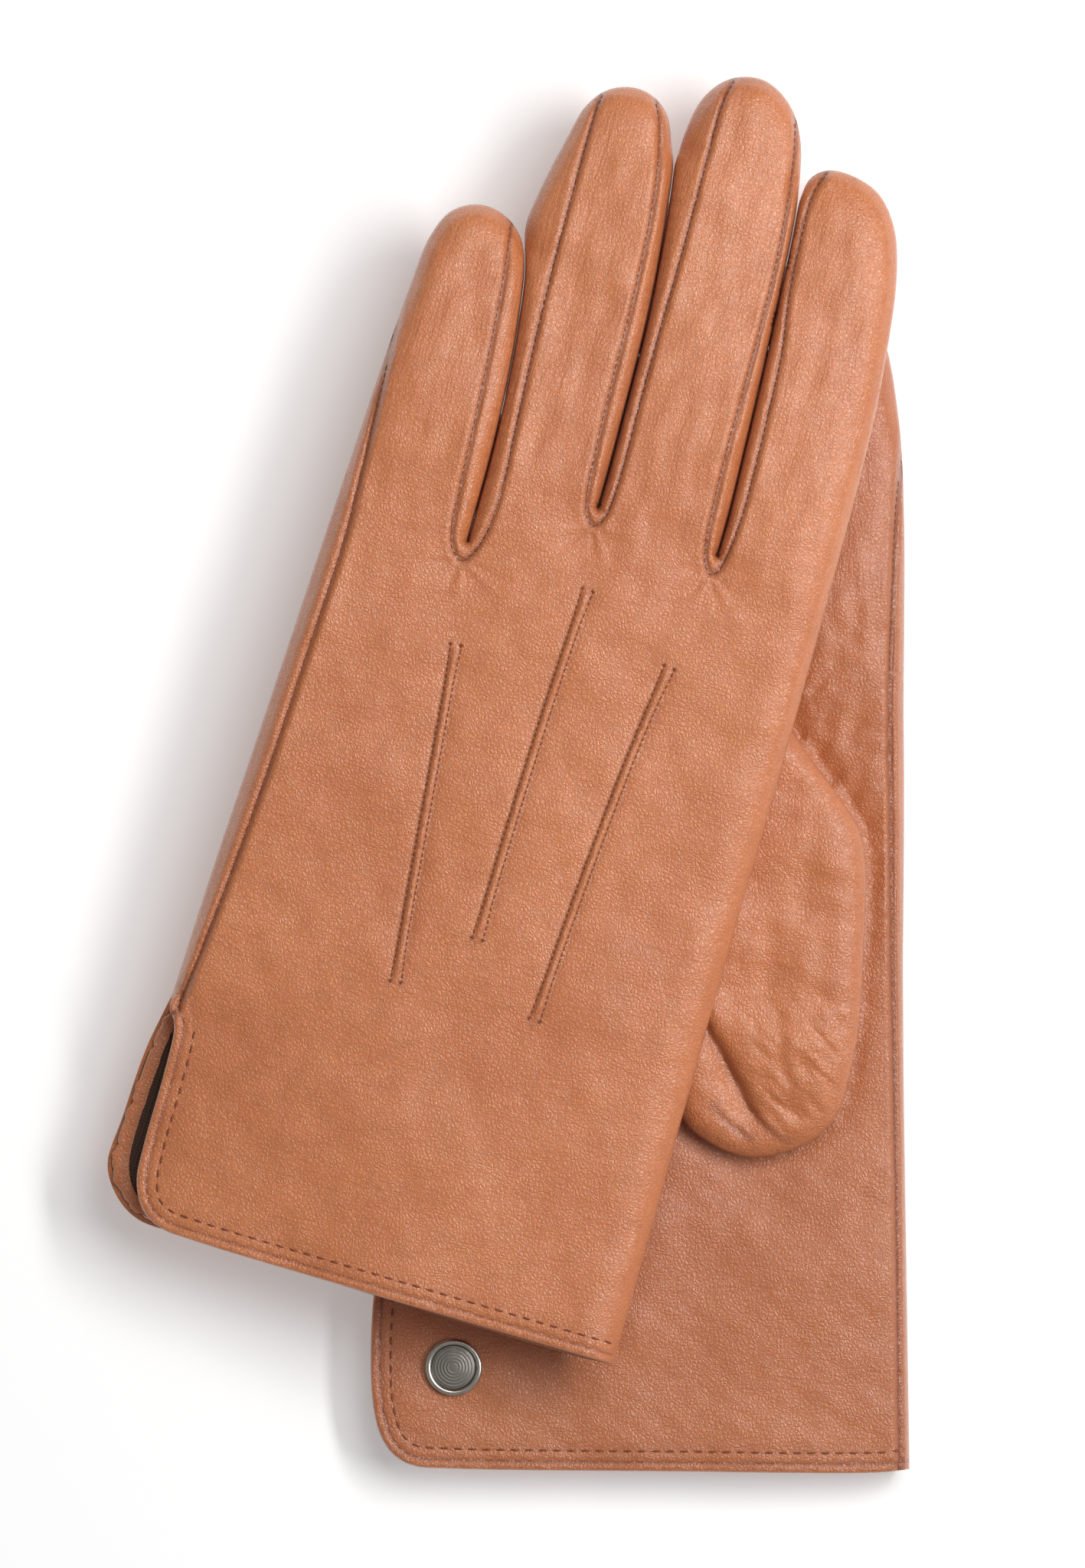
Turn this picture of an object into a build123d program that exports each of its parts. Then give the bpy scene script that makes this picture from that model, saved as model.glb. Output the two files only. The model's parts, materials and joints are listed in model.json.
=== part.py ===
from build123d import *
from dataclasses import dataclass
from math import copysign, cos, pi, radians, sin
import os

os.makedirs("parts", exist_ok=True)

# A pair of dress gloves laid one across the other on a table, in millimetres.
# +X is to the right, +Y is towards the fingertips and +Z is up. The right glove
# lies on its back with the palm up. The left glove lies on it, palm down.
# Each glove has its own plane: u runs across the hand, 0 at the index side and
# negative towards the little finger, and v runs from the hem to the fingertips.
# Depth is measured from the back of the hand towards the palm.

LEATHER = 0.9  # thickness of the gloving leather
LINING = 0.7  # thickness of the knitted lining
PLY_GAP = 0.05  # between leather and lining
LINING_OUT = LEATHER + PLY_GAP  # how far in the lining's outer face is
LINING_IN = LINING_OUT + LINING

HAND_DEEP = 10.0  # a hand or finger, from its back to its palm
THUMB_DEEP = 8.0  # the thumb, folded flat over the palm
REST_GAP = 0.3  # between pieces that lie on each other and move
KNUCKLE_GAP = 0.3  # between the hand and a finger
THUMB_TOP = HAND_DEEP + REST_GAP  # depth of the thumb's near face
THUMB_END = THUMB_TOP + THUMB_DEEP

REACH = 5.0  # how far a cutting shape runs past an open end

# The hand: its two long edges, its hem and the open slit at the wrist.
HEM_BACK = 0.5
HEM_PALM = -0.8
RADIAL_EDGE = [(0.0, HEM_BACK), (-1.2, 80.0), (-2.1, 157.2)]
ULNAR_EDGE = [(-99.8, 147.2), (-101.5, 100.0), (-103.3, 45.0)]
RADIAL_SEAM = 3.5  # the back turns round the index edge by this much
ULNAR_SEAM = 2.6  # the palm turns round the little-finger edge by this much
VENT_TOP = 41.0
VENT_BACK_EDGE = -100.4
VENT_BACK_ROUND = 9.0
VENT_PALM_EDGE = -106.0
VENT_PALM_ROUND = 6.0
FACING_DEEP = 6.0  # how far the hem is turned in

THUMB_HOLE = 13.0  # radius of the opening that the thumb is set into

BADGE_AT = (-89.5, 20.7)
BADGE_RADIUS = 5.6
BADGE_BAND = 1.2  # width of the badge's raised rim
BADGE_PROUD = 1.3
BADGE_PLATE_PROUD = 0.7
BADGE_STEM = 1.0
BADGE_BACKING = 0.5
RUN_CLEAR = 0.05  # between the badge's rim, plate and stem and their neighbours


@dataclass
class Glove:
    name: str
    origin: tuple  # where u = v = 0 lies on the table
    yaw: float  # degrees anticlockwise
    floor: float  # height of its lowest face, without the thumb
    back_up: bool
    thumb_turn: float  # degrees anticlockwise, about the thumb's root
    thumb_shift: float

    def plane(self, near, far):
        """The plane of the lower of two depths."""
        low = HAND_DEEP - far if self.back_up else near
        turn = radians(self.yaw)
        x, y = self.origin
        across = (cos(turn), sin(turn), 0)
        return Plane(origin=(x, y, self.floor + low), x_dir=across, z_dir=(0, 0, 1))


@dataclass
class Finger:
    name: str
    knuckle: float  # v of the line that the finger bends about
    right: list  # its side nearest the index, from the knuckle to the tip's curve
    tip: tuple
    left: list  # its other side, from the tip's curve back to the knuckle
    crotch: float  # v of the cleft on its little-finger side


GLOVES = [
    Glove("right", (79.4066, -136.3895), 0.0, 0.0, False, 0.0, 0.0),
    Glove("left", (21.0566, -115.3895), -16.4, THUMB_END + REST_GAP, True, 10.0, -14.0),
]

FINGERS = [
    Finger(
        "index",
        157.2,
        [(-2.1, 157.2), (-3.6, 212.0)],
        (-19.0, 236.8),
        [(-26.2, 214.0), (-24.4, 157.2)],
        154.3,
    ),
    Finger(
        "middle",
        160.2,
        [(-25.3, 160.2), (-27.4, 222.0)],
        (-44.0, 250.0),
        [(-52.6, 226.0), (-49.6, 160.2)],
        157.0,
    ),
    Finger(
        "ring",
        160.2,
        [(-50.6, 160.2), (-53.4, 220.0)],
        (-67.0, 241.2),
        [(-77.3, 213.0), (-73.7, 187.0), (-72.4, 160.2)],
        143.2,
    ),
    Finger(
        "little",
        147.2,
        [(-73.6, 147.2), (-75.2, 190.0)],
        (-88.0, 211.0),
        [(-98.4, 190.0), (-99.8, 147.2)],
        147.2,
    ),
]

TIP_STEPS = 12
TIP_SQUARE = 0.87  # 1 makes a fingertip a true ellipse; less squares it off

# The thumb, folded over the palm: it bends inwards past its knuckle.
THUMB = [
    (-28.5, 62.0),
    (-17.0, 67.5),
    (-11.0, 82.0),
    (-9.0, 105.0),
    (-11.0, 128.5),
    (-23.5, 145.5),
    (-33.0, 157.0),
    (-41.5, 160.0),
    (-48.0, 155.0),
    (-46.5, 142.0),
    (-42.5, 125.0),
    (-45.5, 100.0),
    (-47.5, 82.0),
    (-41.0, 66.5),
]
THUMB_ROOT = (-29.0, 82.0)


def moved_in(points, inset):
    """A closed anticlockwise loop of points with every side moved inwards."""
    out = []
    for i, (u, v) in enumerate(points):
        before, after = points[i - 1], points[(i + 1) % len(points)]
        arrive = (Vector(u, v) - Vector(*before)).normalized()
        leave = (Vector(*after) - Vector(u, v)).normalized()
        mitre = inset / (1 + arrive.dot(leave))
        out.append((u - mitre * (arrive.Y + leave.Y), v + mitre * (arrive.X + leave.X)))
    return out


def at_level(start, end, v):
    """Where the line through two points reaches v."""
    part = (v - start[1]) / (end[1] - start[1])
    return (start[0] + (end[0] - start[0]) * part, v)


def shifted(points, du, dv=0.0):
    return [(u + du, v + dv) for u, v in points]


def hand_sketch(plane, inset, hem, reach=0.0):
    """The hand from hem to knuckles, its walls moved in by inset."""
    start = at_level(*RADIAL_EDGE[:2], hem)
    corners = shifted([start, *RADIAL_EDGE[1:-1]], -inset)
    for finger, after in zip(FINGERS, FINGERS[1:] + [None]):
        top = finger.knuckle + reach
        corners.append((finger.right[0][0] - inset, top))
        corners.append((finger.left[-1][0] + inset, top))
        if after:
            cleft = finger.crotch - inset
            corners.append((finger.left[-1][0] + inset, cleft))
            corners.append((after.right[0][0] - inset, cleft))
    corners += shifted(ULNAR_EDGE[1:], inset)
    corners.append((ULNAR_EDGE[-1][0] + inset, hem))
    with BuildSketch(plane) as sketch:
        Polygon(*corners, align=None)
    return sketch.sketch


def back_trim(plane):
    """What the back of the hand leaves to the palm: the turned edge and the vent."""
    wrap = shifted(ULNAR_EDGE, ULNAR_SEAM)
    corner = VENT_BACK_ROUND
    with BuildSketch(plane) as sketch:
        with BuildLine():
            Polyline(
                (-120.0, 170.0),
                (wrap[0][0], 170.0),
                *wrap,
                (wrap[-1][0], VENT_TOP),
                (VENT_BACK_EDGE, VENT_TOP),
                (VENT_BACK_EDGE, HEM_BACK + corner),
            )
            CenterArc((VENT_BACK_EDGE + corner, HEM_BACK + corner), corner, 180, 90)
            Polyline(
                (VENT_BACK_EDGE + corner, HEM_BACK),
                (VENT_BACK_EDGE + corner, -20.0),
                (-120.0, -20.0),
                (-120.0, 170.0),
            )
        make_face()
    return sketch.sketch


def vent_flap(plane):
    """The palm's own flap, which stands out past the hand's edge at the slit."""
    corner = VENT_PALM_ROUND
    top = ULNAR_EDGE[-1]
    with BuildSketch(plane) as sketch:
        with BuildLine():
            Polyline((-95.0, HEM_PALM), (-95.0, top[1]), top)
            Spline(top, (-105.3, 30.0), (VENT_PALM_EDGE, HEM_PALM + corner + 4.0))
            Line(
                (VENT_PALM_EDGE, HEM_PALM + corner + 4.0),
                (VENT_PALM_EDGE, HEM_PALM + corner),
            )
            CenterArc((VENT_PALM_EDGE + corner, HEM_PALM + corner), corner, 180, 90)
            Line((VENT_PALM_EDGE + corner, HEM_PALM), (-95.0, HEM_PALM))
        make_face()
    return sketch.sketch


def run_on(points, over):
    """A path with its two ends carried straight on along v."""
    (u_first, v_first), (u_last, v_last) = points[0], points[-1]
    step = over if v_last > v_first else -over
    return [(u_first, v_first - step), *points, (u_last, v_last + step)]


def seam_strip(plane, edge, width, over=0.0):
    """A strip of leather turned round a long edge; over carries it past the edge."""
    outer = shifted(edge, -over if width > 0 else over)
    inner = shifted(edge, width)
    if over:
        outer, inner = run_on(outer, over), run_on(inner, over)
    with BuildSketch(plane) as sketch:
        Polygon(*outer, *reversed(inner), align=None)
    return sketch.sketch


def fingertip(finger):
    """Points round a fingertip, on half a squared-off ellipse."""
    (u_right, v_right), (u_left, v_left) = finger.right[-1], finger.left[0]
    middle, half = (u_right + u_left) / 2, (u_right - u_left) / 2
    out = []
    for step in range(1, TIP_STEPS):
        turn = pi * step / TIP_STEPS
        level = v_right + (v_left - v_right) * step / TIP_STEPS
        side = copysign(abs(cos(turn)) ** TIP_SQUARE, cos(turn))
        rise = sin(turn) ** TIP_SQUARE
        out.append(
            (
                middle + (finger.tip[0] - middle) * sin(turn) + half * side,
                level + (finger.tip[1] - level) * rise,
            )
        )
    return out


def finger_sketch(plane, finger, inset=0.0, reach=0.0):
    """A finger's outline: straight sides from the knuckle, then a rounded tip."""
    foot = finger.knuckle + KNUCKLE_GAP - reach - inset
    ends = [at_level(*finger.right[:2], foot), at_level(*finger.left[-2:], foot)]
    loop = [ends[0], *finger.right[1:], *fingertip(finger), *finger.left[:-1], ends[1]]
    with BuildSketch(plane) as sketch:
        Polygon(*moved_in(loop, inset), align=None)
    return sketch.sketch


def finger_side(plane, finger, side):
    """Everything on one side of a finger's middle line: +1 is the index side."""
    foot = (finger.right[0][0] + finger.left[-1][0]) / 2
    far = foot + side * 40.0
    base = finger.knuckle - 20.0
    top = finger.tip[1] + 20.0
    with BuildSketch(plane) as sketch:
        with BuildLine():
            Polyline((foot, base), (far, base), (far, top), (finger.tip[0], top), (foot, base))
        make_face()
    return sketch.sketch


def thumb_points(glove, points):
    """Points of the thumb, turned about its root and shifted over the palm."""
    turn = radians(glove.thumb_turn)
    ru, rv = THUMB_ROOT
    return [
        (
            ru + (u - ru) * cos(turn) - (v - rv) * sin(turn) + glove.thumb_shift,
            rv + (u - ru) * sin(turn) + (v - rv) * cos(turn),
        )
        for u, v in points
    ]


def thumb_sketch(glove, plane, inset=0.0):
    with BuildSketch(plane) as sketch:
        with BuildLine():
            Spline(*thumb_points(glove, moved_in(THUMB, inset)), periodic=True)
        make_face()
    return sketch.sketch


def round_sketch(plane, centre, radius, hole=0.0):
    with BuildSketch(plane) as sketch:
        with Locations(centre):
            Circle(radius)
            if hole:
                Circle(hole, mode=Mode.SUBTRACT)
    return sketch.sketch


def save(part, name):
    part.label = name
    export_step(part, f"parts/{name}.step")


def layer(glove, near, far, draw, mode=Mode.ADD):
    """Fill a sketch between two depths of a glove, inside the part being made."""
    extrude(draw(glove.plane(near, far)), amount=far - near, mode=mode)


def hand(glove):
    """The hand's two leather panels, its lining and the turned-in hem."""
    root = thumb_points(glove, [THUMB_ROOT])[0]
    outer, inner = LEATHER, HAND_DEEP - LEATHER
    lined, unlined = LINING_OUT, HAND_DEEP - LINING_OUT

    def wall(edge, width, over=0.0):
        return lambda plane: seam_strip(plane, edge, width, over)

    def hole(plane):
        return round_sketch(plane, root, THUMB_HOLE)

    def stem_hole(plane):
        return round_sketch(plane, BADGE_AT, BADGE_STEM + RUN_CLEAR)

    def past_vent(plane):
        with BuildSketch(plane) as sketch:
            with Locations((-100.0, VENT_TOP / 2 - REACH)):
                Rectangle(20.0, VENT_TOP + 2 * REACH)
        return sketch.sketch

    with BuildPart() as back:
        layer(glove, 0, outer, lambda p: hand_sketch(p, 0, HEM_BACK))
        layer(glove, 0, outer, back_trim, Mode.SUBTRACT)
        layer(glove, outer, inner, wall(RADIAL_EDGE, -LEATHER))
        layer(glove, inner, HAND_DEEP, wall(RADIAL_EDGE, -RADIAL_SEAM))
    save(back.part, f"{glove.name}_back_panel")

    with BuildPart() as palm:
        layer(glove, inner, HAND_DEEP, lambda p: hand_sketch(p, 0, HEM_PALM))
        layer(glove, inner, HAND_DEEP, vent_flap)
        layer(glove, inner, HAND_DEEP, wall(RADIAL_EDGE, -RADIAL_SEAM, REACH), Mode.SUBTRACT)
        layer(glove, outer, inner, wall(ULNAR_EDGE, LEATHER))
        layer(glove, 0, outer, wall(ULNAR_EDGE, ULNAR_SEAM))
        layer(glove, inner, HAND_DEEP, hole, Mode.SUBTRACT)
        if glove.name == "right":
            layer(glove, inner, HAND_DEEP, stem_hole, Mode.SUBTRACT)
    save(palm.part, f"{glove.name}_palm_panel")

    with BuildPart() as lining:
        layer(glove, lined, unlined, lambda p: hand_sketch(p, LINING_OUT, FACING_DEEP + PLY_GAP))
        layer(
            glove,
            LINING_IN,
            HAND_DEEP - LINING_IN,
            lambda p: hand_sketch(p, LINING_IN, -REACH, REACH),
            Mode.SUBTRACT,
        )
        layer(glove, LINING_IN, unlined + REACH, hole, Mode.SUBTRACT)
        layer(glove, LINING_IN, HAND_DEEP - LINING_IN, past_vent, Mode.SUBTRACT)
        if glove.name == "right":
            layer(glove, LINING_IN, unlined + REACH, stem_hole, Mode.SUBTRACT)
    save(lining.part, f"{glove.name}_hand_lining")

    with BuildPart() as facing:
        layer(glove, lined, unlined, lambda p: hand_sketch(p, LINING_OUT, HEM_BACK + LINING_OUT))
        layer(
            glove,
            LINING_IN,
            HAND_DEEP - LINING_IN,
            lambda p: hand_sketch(p, LINING_IN, -REACH, REACH),
            Mode.SUBTRACT,
        )
        layer(glove, lined, unlined, past_facing, Mode.SUBTRACT)
        layer(glove, LINING_IN, HAND_DEEP - LINING_IN, past_vent, Mode.SUBTRACT)
        layer(glove, lined, LINING_IN, back_trim, Mode.SUBTRACT)
    save(facing.part, f"{glove.name}_cuff_facing")


def past_facing(plane):
    """Everything of the hand that is deeper in than the turned hem."""
    with BuildSketch(plane) as sketch:
        with Locations((-50.0, FACING_DEEP + 100.0)):
            Rectangle(140.0, 200.0)
    return sketch.sketch


def finger_pieces(glove, finger):
    """A finger's back, palm, side strips (fourchettes) and lining."""
    name = f"{glove.name}_{finger.name}"
    outer, inner = LEATHER, HAND_DEEP - LEATHER
    lined, unlined = LINING_OUT, HAND_DEEP - LINING_OUT

    def whole(plane):
        return finger_sketch(plane, finger)

    def side_wall(side):
        layer(glove, outer, inner, whole)
        layer(
            glove,
            outer,
            inner,
            lambda p: finger_sketch(p, finger, LEATHER, REACH),
            Mode.SUBTRACT,
        )
        layer(glove, outer, inner, lambda p: finger_side(p, finger, -side), Mode.SUBTRACT)

    with BuildPart() as back:
        if finger.name == "index":
            side_wall(1)
        layer(glove, 0, outer, whole)
    save(back.part, f"{name}_back")

    with BuildPart() as palm:
        if finger.name == "little":
            side_wall(-1)
        layer(glove, inner, HAND_DEEP, whole)
    save(palm.part, f"{name}_palm")

    if finger.name != "index":
        with BuildPart() as strip:
            side_wall(1)
        save(strip.part, f"{name}_fourchette_index_side")

    if finger.name != "little":
        with BuildPart() as strip:
            side_wall(-1)
        save(strip.part, f"{name}_fourchette_little_side")

    with BuildPart() as lining:
        layer(glove, lined, unlined, lambda p: finger_sketch(p, finger, LINING_OUT))
        layer(
            glove,
            LINING_IN,
            HAND_DEEP - LINING_IN,
            lambda p: finger_sketch(p, finger, LINING_IN, REACH),
            Mode.SUBTRACT,
        )
    save(lining.part, f"{name}_lining")


def thumb_pieces(glove):
    """The thumb: an outer leather, an under leather open to the hand, a lining."""
    root = thumb_points(glove, [THUMB_ROOT])[0]
    near, far = THUMB_TOP + LEATHER, THUMB_END - LEATHER

    def hole(plane):
        return round_sketch(plane, root, THUMB_HOLE)

    with BuildPart() as outer:
        layer(glove, near, THUMB_END, lambda p: thumb_sketch(glove, p))
        layer(glove, near, far, lambda p: thumb_sketch(glove, p, LEATHER), Mode.SUBTRACT)
    save(outer.part, f"{glove.name}_thumb_outer")

    with BuildPart() as under:
        layer(glove, THUMB_TOP, near, lambda p: thumb_sketch(glove, p))
        layer(glove, THUMB_TOP, near, hole, Mode.SUBTRACT)
    save(under.part, f"{glove.name}_thumb_under")

    with BuildPart() as lining:
        layer(
            glove,
            THUMB_TOP + LINING_OUT,
            THUMB_END - LINING_OUT,
            lambda p: thumb_sketch(glove, p, LINING_OUT),
        )
        layer(
            glove,
            THUMB_TOP + LINING_IN,
            THUMB_END - LINING_IN,
            lambda p: thumb_sketch(glove, p, LINING_IN),
            Mode.SUBTRACT,
        )
        layer(glove, THUMB_TOP + LINING_OUT, THUMB_TOP + LINING_IN, hole, Mode.SUBTRACT)
    save(lining.part, f"{glove.name}_thumb_lining")


def badge(glove):
    """A plain round metal badge riveted through the palm's leather and lining."""
    face = HAND_DEEP
    bore = BADGE_RADIUS - BADGE_BAND
    seat = HAND_DEEP - LINING_IN

    with BuildPart() as rim:
        layer(glove, face, face + BADGE_PROUD, lambda p: round_sketch(p, BADGE_AT, BADGE_RADIUS, bore))
        fillet(rim.faces().sort_by(Axis.Z)[-1].edges(), BADGE_BAND / 3)
    save(rim.part, f"{glove.name}_badge_rim")

    with BuildPart() as plate:
        layer(
            glove,
            face,
            face + BADGE_PLATE_PROUD,
            lambda p: round_sketch(p, BADGE_AT, bore - RUN_CLEAR),
        )
        fillet(plate.faces().sort_by(Axis.Z)[-1].edges(), BADGE_PLATE_PROUD / 2)
        layer(
            glove,
            seat - BADGE_BACKING,
            face,
            lambda p: round_sketch(p, BADGE_AT, BADGE_STEM),
        )
    save(plate.part, f"{glove.name}_badge_plate")

    with BuildPart() as backing:
        layer(
            glove,
            seat - BADGE_BACKING,
            seat,
            lambda p: round_sketch(p, BADGE_AT, bore, BADGE_STEM + RUN_CLEAR),
        )
    save(backing.part, f"{glove.name}_badge_backing")


for glove in GLOVES:
    hand(glove)
    thumb_pieces(glove)
    for finger in FINGERS:
        finger_pieces(glove, finger)
badge(GLOVES[0])
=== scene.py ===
"""A pair of lined tan leather dress gloves, one laid across the other.

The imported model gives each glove's place, thickness and knuckle hinges. Each glove
is drawn flat as a pattern in millimetres (u across the hand, 0 at the index side;
v from the hem to the fingertips), filled with a triangle mesh, and then given its
depth, seams, tucks and creases.
"""

import math

import bmesh
import bpy
import numpy as np
from bpy.props import FloatProperty, FloatVectorProperty, PointerProperty
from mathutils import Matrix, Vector, geometry
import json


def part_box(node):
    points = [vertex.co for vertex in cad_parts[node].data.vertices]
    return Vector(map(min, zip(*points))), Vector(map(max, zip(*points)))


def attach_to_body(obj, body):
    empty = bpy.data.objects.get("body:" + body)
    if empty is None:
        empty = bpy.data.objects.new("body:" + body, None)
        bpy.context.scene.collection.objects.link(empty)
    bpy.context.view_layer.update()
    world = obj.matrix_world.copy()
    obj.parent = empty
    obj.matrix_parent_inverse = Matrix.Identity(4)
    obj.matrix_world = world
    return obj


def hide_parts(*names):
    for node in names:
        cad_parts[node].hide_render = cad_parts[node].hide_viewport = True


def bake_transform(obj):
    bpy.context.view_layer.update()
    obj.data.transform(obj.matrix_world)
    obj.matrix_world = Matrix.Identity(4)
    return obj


bl_info = {
    "name": "Leather dress gloves",
    "version": (1, 0, 0),
    "blender": (4, 5, 0),
    "location": "View3D > Sidebar > Gloves",
    "description": "Builds a pair of lined leather gloves around their packed frame",
    "category": "Add Mesh",
}

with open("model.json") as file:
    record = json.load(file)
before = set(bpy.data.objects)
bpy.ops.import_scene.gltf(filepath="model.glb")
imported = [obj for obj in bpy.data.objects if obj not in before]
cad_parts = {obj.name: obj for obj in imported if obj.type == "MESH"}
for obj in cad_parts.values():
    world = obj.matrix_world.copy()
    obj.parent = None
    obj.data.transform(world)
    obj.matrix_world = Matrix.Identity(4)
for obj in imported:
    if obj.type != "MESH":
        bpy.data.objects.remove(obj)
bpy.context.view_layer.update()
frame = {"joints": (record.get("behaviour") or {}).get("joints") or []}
MM = 0.001
FINGER_NAMES = ("index", "middle", "ring", "little")

# ---------------------------------------------------------------------------
# The pattern, in millimetres. Each stretch of the edge ends at a cleft.

EDGE_STRETCHES = (
    (
        (0.0, 0.6), (-0.5, 35.0), (-1.1, 75.0), (-1.5, 130.0), (-2.0, 155.0), (-3.0, 188.0),
        (-4.6, 206.0), (-7.0, 221.0), (-10.2, 229.8), (-15.0, 235.2), (-21.0, 237.1),
        (-25.8, 236.7), (-28.6, 234.2), (-29.3, 230.0), (-28.5, 222.0), (-27.6, 210.0), (-26.6, 196.0),
        (-25.7, 180.0), (-25.0, 166.0), (-25.2, 158.0),
    ),
    (
        (-25.2, 158.0), (-25.5, 166.0), (-26.1, 180.0), (-27.0, 196.0), (-28.0, 210.0),
        (-29.0, 222.0), (-30.2, 232.0), (-32.8, 241.5), (-37.0, 247.4), (-43.0, 250.2),
        (-49.2, 248.5), (-53.2, 243.4), (-54.7, 235.0), (-54.1, 226.0), (-52.4, 213.0),
        (-51.1, 198.0), (-50.4, 180.0), (-50.0, 168.0), (-50.2, 160.5),
    ),
    (
        (-50.2, 160.5), (-50.5, 168.0), (-50.8, 180.0), (-51.5, 198.0), (-52.9, 213.0),
        (-54.6, 225.5), (-56.4, 232.5), (-59.6, 239.0), (-65.0, 241.6), (-70.8, 240.2),
        (-74.6, 235.8), (-76.7, 227.5), (-78.7, 217.0), (-79.4, 209.5), (-77.1, 202.0),
        (-75.1, 190.0), (-73.8, 178.0), (-73.0, 165.0), (-72.8, 155.0), (-72.9, 147.0),
    ),
    (
        (-72.9, 147.0), (-73.2, 155.0), (-73.4, 165.0), (-74.2, 178.0), (-75.5, 190.0),
        (-77.6, 202.0), (-80.2, 207.6), (-84.5, 210.6), (-89.5, 211.0), (-94.3, 208.2),
        (-96.9, 202.0), (-97.8, 192.0), (-98.7, 175.0), (-99.6, 152.0), (-100.4, 130.0),
        (-101.5, 100.0), (-102.7, 70.0), (-103.3, 46.0),
    ),
)
BACK_HEM = (
    (-103.3, 46.0), (-102.9, 42.6), (-101.6, 41.0), (-100.9, 38.5), (-100.5, 30.0), (-100.3, 16.0),
    (-99.4, 8.0), (-96.8, 3.4), (-92.5, 1.1), (-86.0, 0.6), (-45.0, 0.5), (0.0, 0.6),
)
PALM_HEM = (
    (-103.3, 46.0), (-104.2, 41.0), (-105.3, 34.0), (-105.8, 22.0), (-105.3, 13.0), (-103.9, 7.4),
    (-101.4, 3.6), (-97.5, 1.4), (-90.0, 0.8), (-45.0, 0.2), (-6.0, 0.0), (0.0, 0.6),
)

# A seam runs down one finger, round the cleft and up the next finger.
CLEFT_SEAMS = (
    (
        (-25.6, 240.0), (-26.0, 236.0), (-27.3, 231.0), (-26.9, 220.0), (-26.0, 210.0), (-24.4, 200.0),
        (-23.7, 190.0), (-23.1, 178.0), (-22.8, 168.0), (-23.2, 160.0), (-24.0, 156.0), (-25.2, 154.2),
        (-26.7, 155.6), (-27.8, 159.0), (-28.5, 166.0), (-29.1, 178.0), (-29.3, 190.0), (-29.6, 203.0),
        (-30.1, 215.0), (-30.9, 224.0), (-32.0, 233.0), (-33.4, 240.5), (-34.9, 246.0), (-36.0, 250.0),
    ),
    (
        (-47.9, 253.0), (-48.5, 248.6), (-49.3, 243.0), (-49.2, 235.0), (-48.9, 225.0), (-48.6, 212.0),
        (-48.5, 198.0), (-48.2, 182.0), (-47.8, 168.0), (-48.2, 160.0), (-49.0, 158.0), (-50.2, 156.9),
        (-51.6, 158.0), (-52.8, 162.0), (-53.6, 170.0), (-54.3, 182.0), (-54.9, 198.0), (-55.6, 210.0),
        (-56.6, 220.5), (-58.0, 229.0), (-60.0, 236.5), (-62.0, 241.0), (-63.5, 245.0),
    ),
    (
        (-72.0, 244.0), (-72.5, 238.6), (-72.7, 233.0), (-72.5, 220.0), (-72.1, 205.0), (-71.3, 188.0),
        (-70.2, 172.0), (-69.3, 158.0), (-69.6, 151.0), (-71.0, 145.6), (-72.9, 143.1), (-75.0, 144.6),
        (-76.4, 148.5), (-77.1, 156.0), (-78.0, 170.0), (-78.9, 182.0), (-80.0, 194.0), (-81.3, 204.0),
        (-82.2, 209.5), (-83.0, 214.0),
    ),
)
# Between two fingers: where one finger's side strip ends and the next begins.
CLEFT_LINES = (
    ((-25.2, 140.0), (-25.2, 158.0), (-25.25, 166.0), (-25.9, 180.0), (-26.8, 196.0), (-27.8, 210.0),
     (-28.75, 222.0), (-29.75, 231.5), (-30.5, 260.0)),
    ((-50.2, 140.0), (-50.2, 160.5), (-50.25, 168.0), (-50.6, 180.0), (-51.3, 198.0), (-52.65, 213.0),
     (-54.35, 225.8), (-55.6, 233.0), (-56.5, 260.0)),
    ((-72.9, 130.0), (-72.9, 147.0), (-73.0, 155.0), (-73.2, 165.0), (-74.0, 178.0), (-75.3, 190.0),
     (-77.35, 202.0), (-79.8, 208.5), (-81.5, 260.0)),
)
OUTSEAM = (
    (-103.6, 40.0), (-101.9, 42.5), (-100.8, 50.0), (-99.7, 62.0), (-98.4, 80.0), (-97.4, 100.0),
    (-96.7, 120.0), (-96.1, 140.0), (-96.5, 152.0), (-97.1, 164.0), (-97.8, 176.0), (-99.4, 192.0),
)
RADIAL_SEAM = (
    (-1.8, -6.0), (-2.0, 5.0), (-2.6, 50.0), (-3.3, 90.0), (-4.1, 130.0), (-4.6, 150.0),
    (-4.6, 172.0), (-4.3, 190.0), (-3.2, 205.0),
)
TUCKS = (
    ((-69.3, 127.0), (-67.4, 110.0), (-64.2, 80.0), (-62.0, 60.5)),
    ((-47.6, 144.5), (-48.4, 125.0), (-48.9, 100.0), (-49.0, 73.0)),
    ((-28.0, 134.5), (-30.0, 118.0), (-32.2, 90.0), (-33.8, 61.0)),
)
THUMB_EDGE = (
    (-31.8, 62.0), (-25.5, 62.7), (-19.2, 65.3), (-14.2, 70.4), (-11.8, 78.0), (-10.1, 87.5), (-9.3, 99.0),
    (-8.9, 111.0), (-8.9, 119.0), (-10.0, 125.4), (-13.6, 131.8), (-19.2, 139.4), (-25.2, 148.0),
    (-33.0, 156.8), (-41.5, 160.0), (-48.0, 155.0), (-47.0, 142.0), (-44.0, 125.0), (-46.5, 100.0),
    (-48.0, 84.0), (-44.6, 69.6), (-38.8, 64.5),
)
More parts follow.
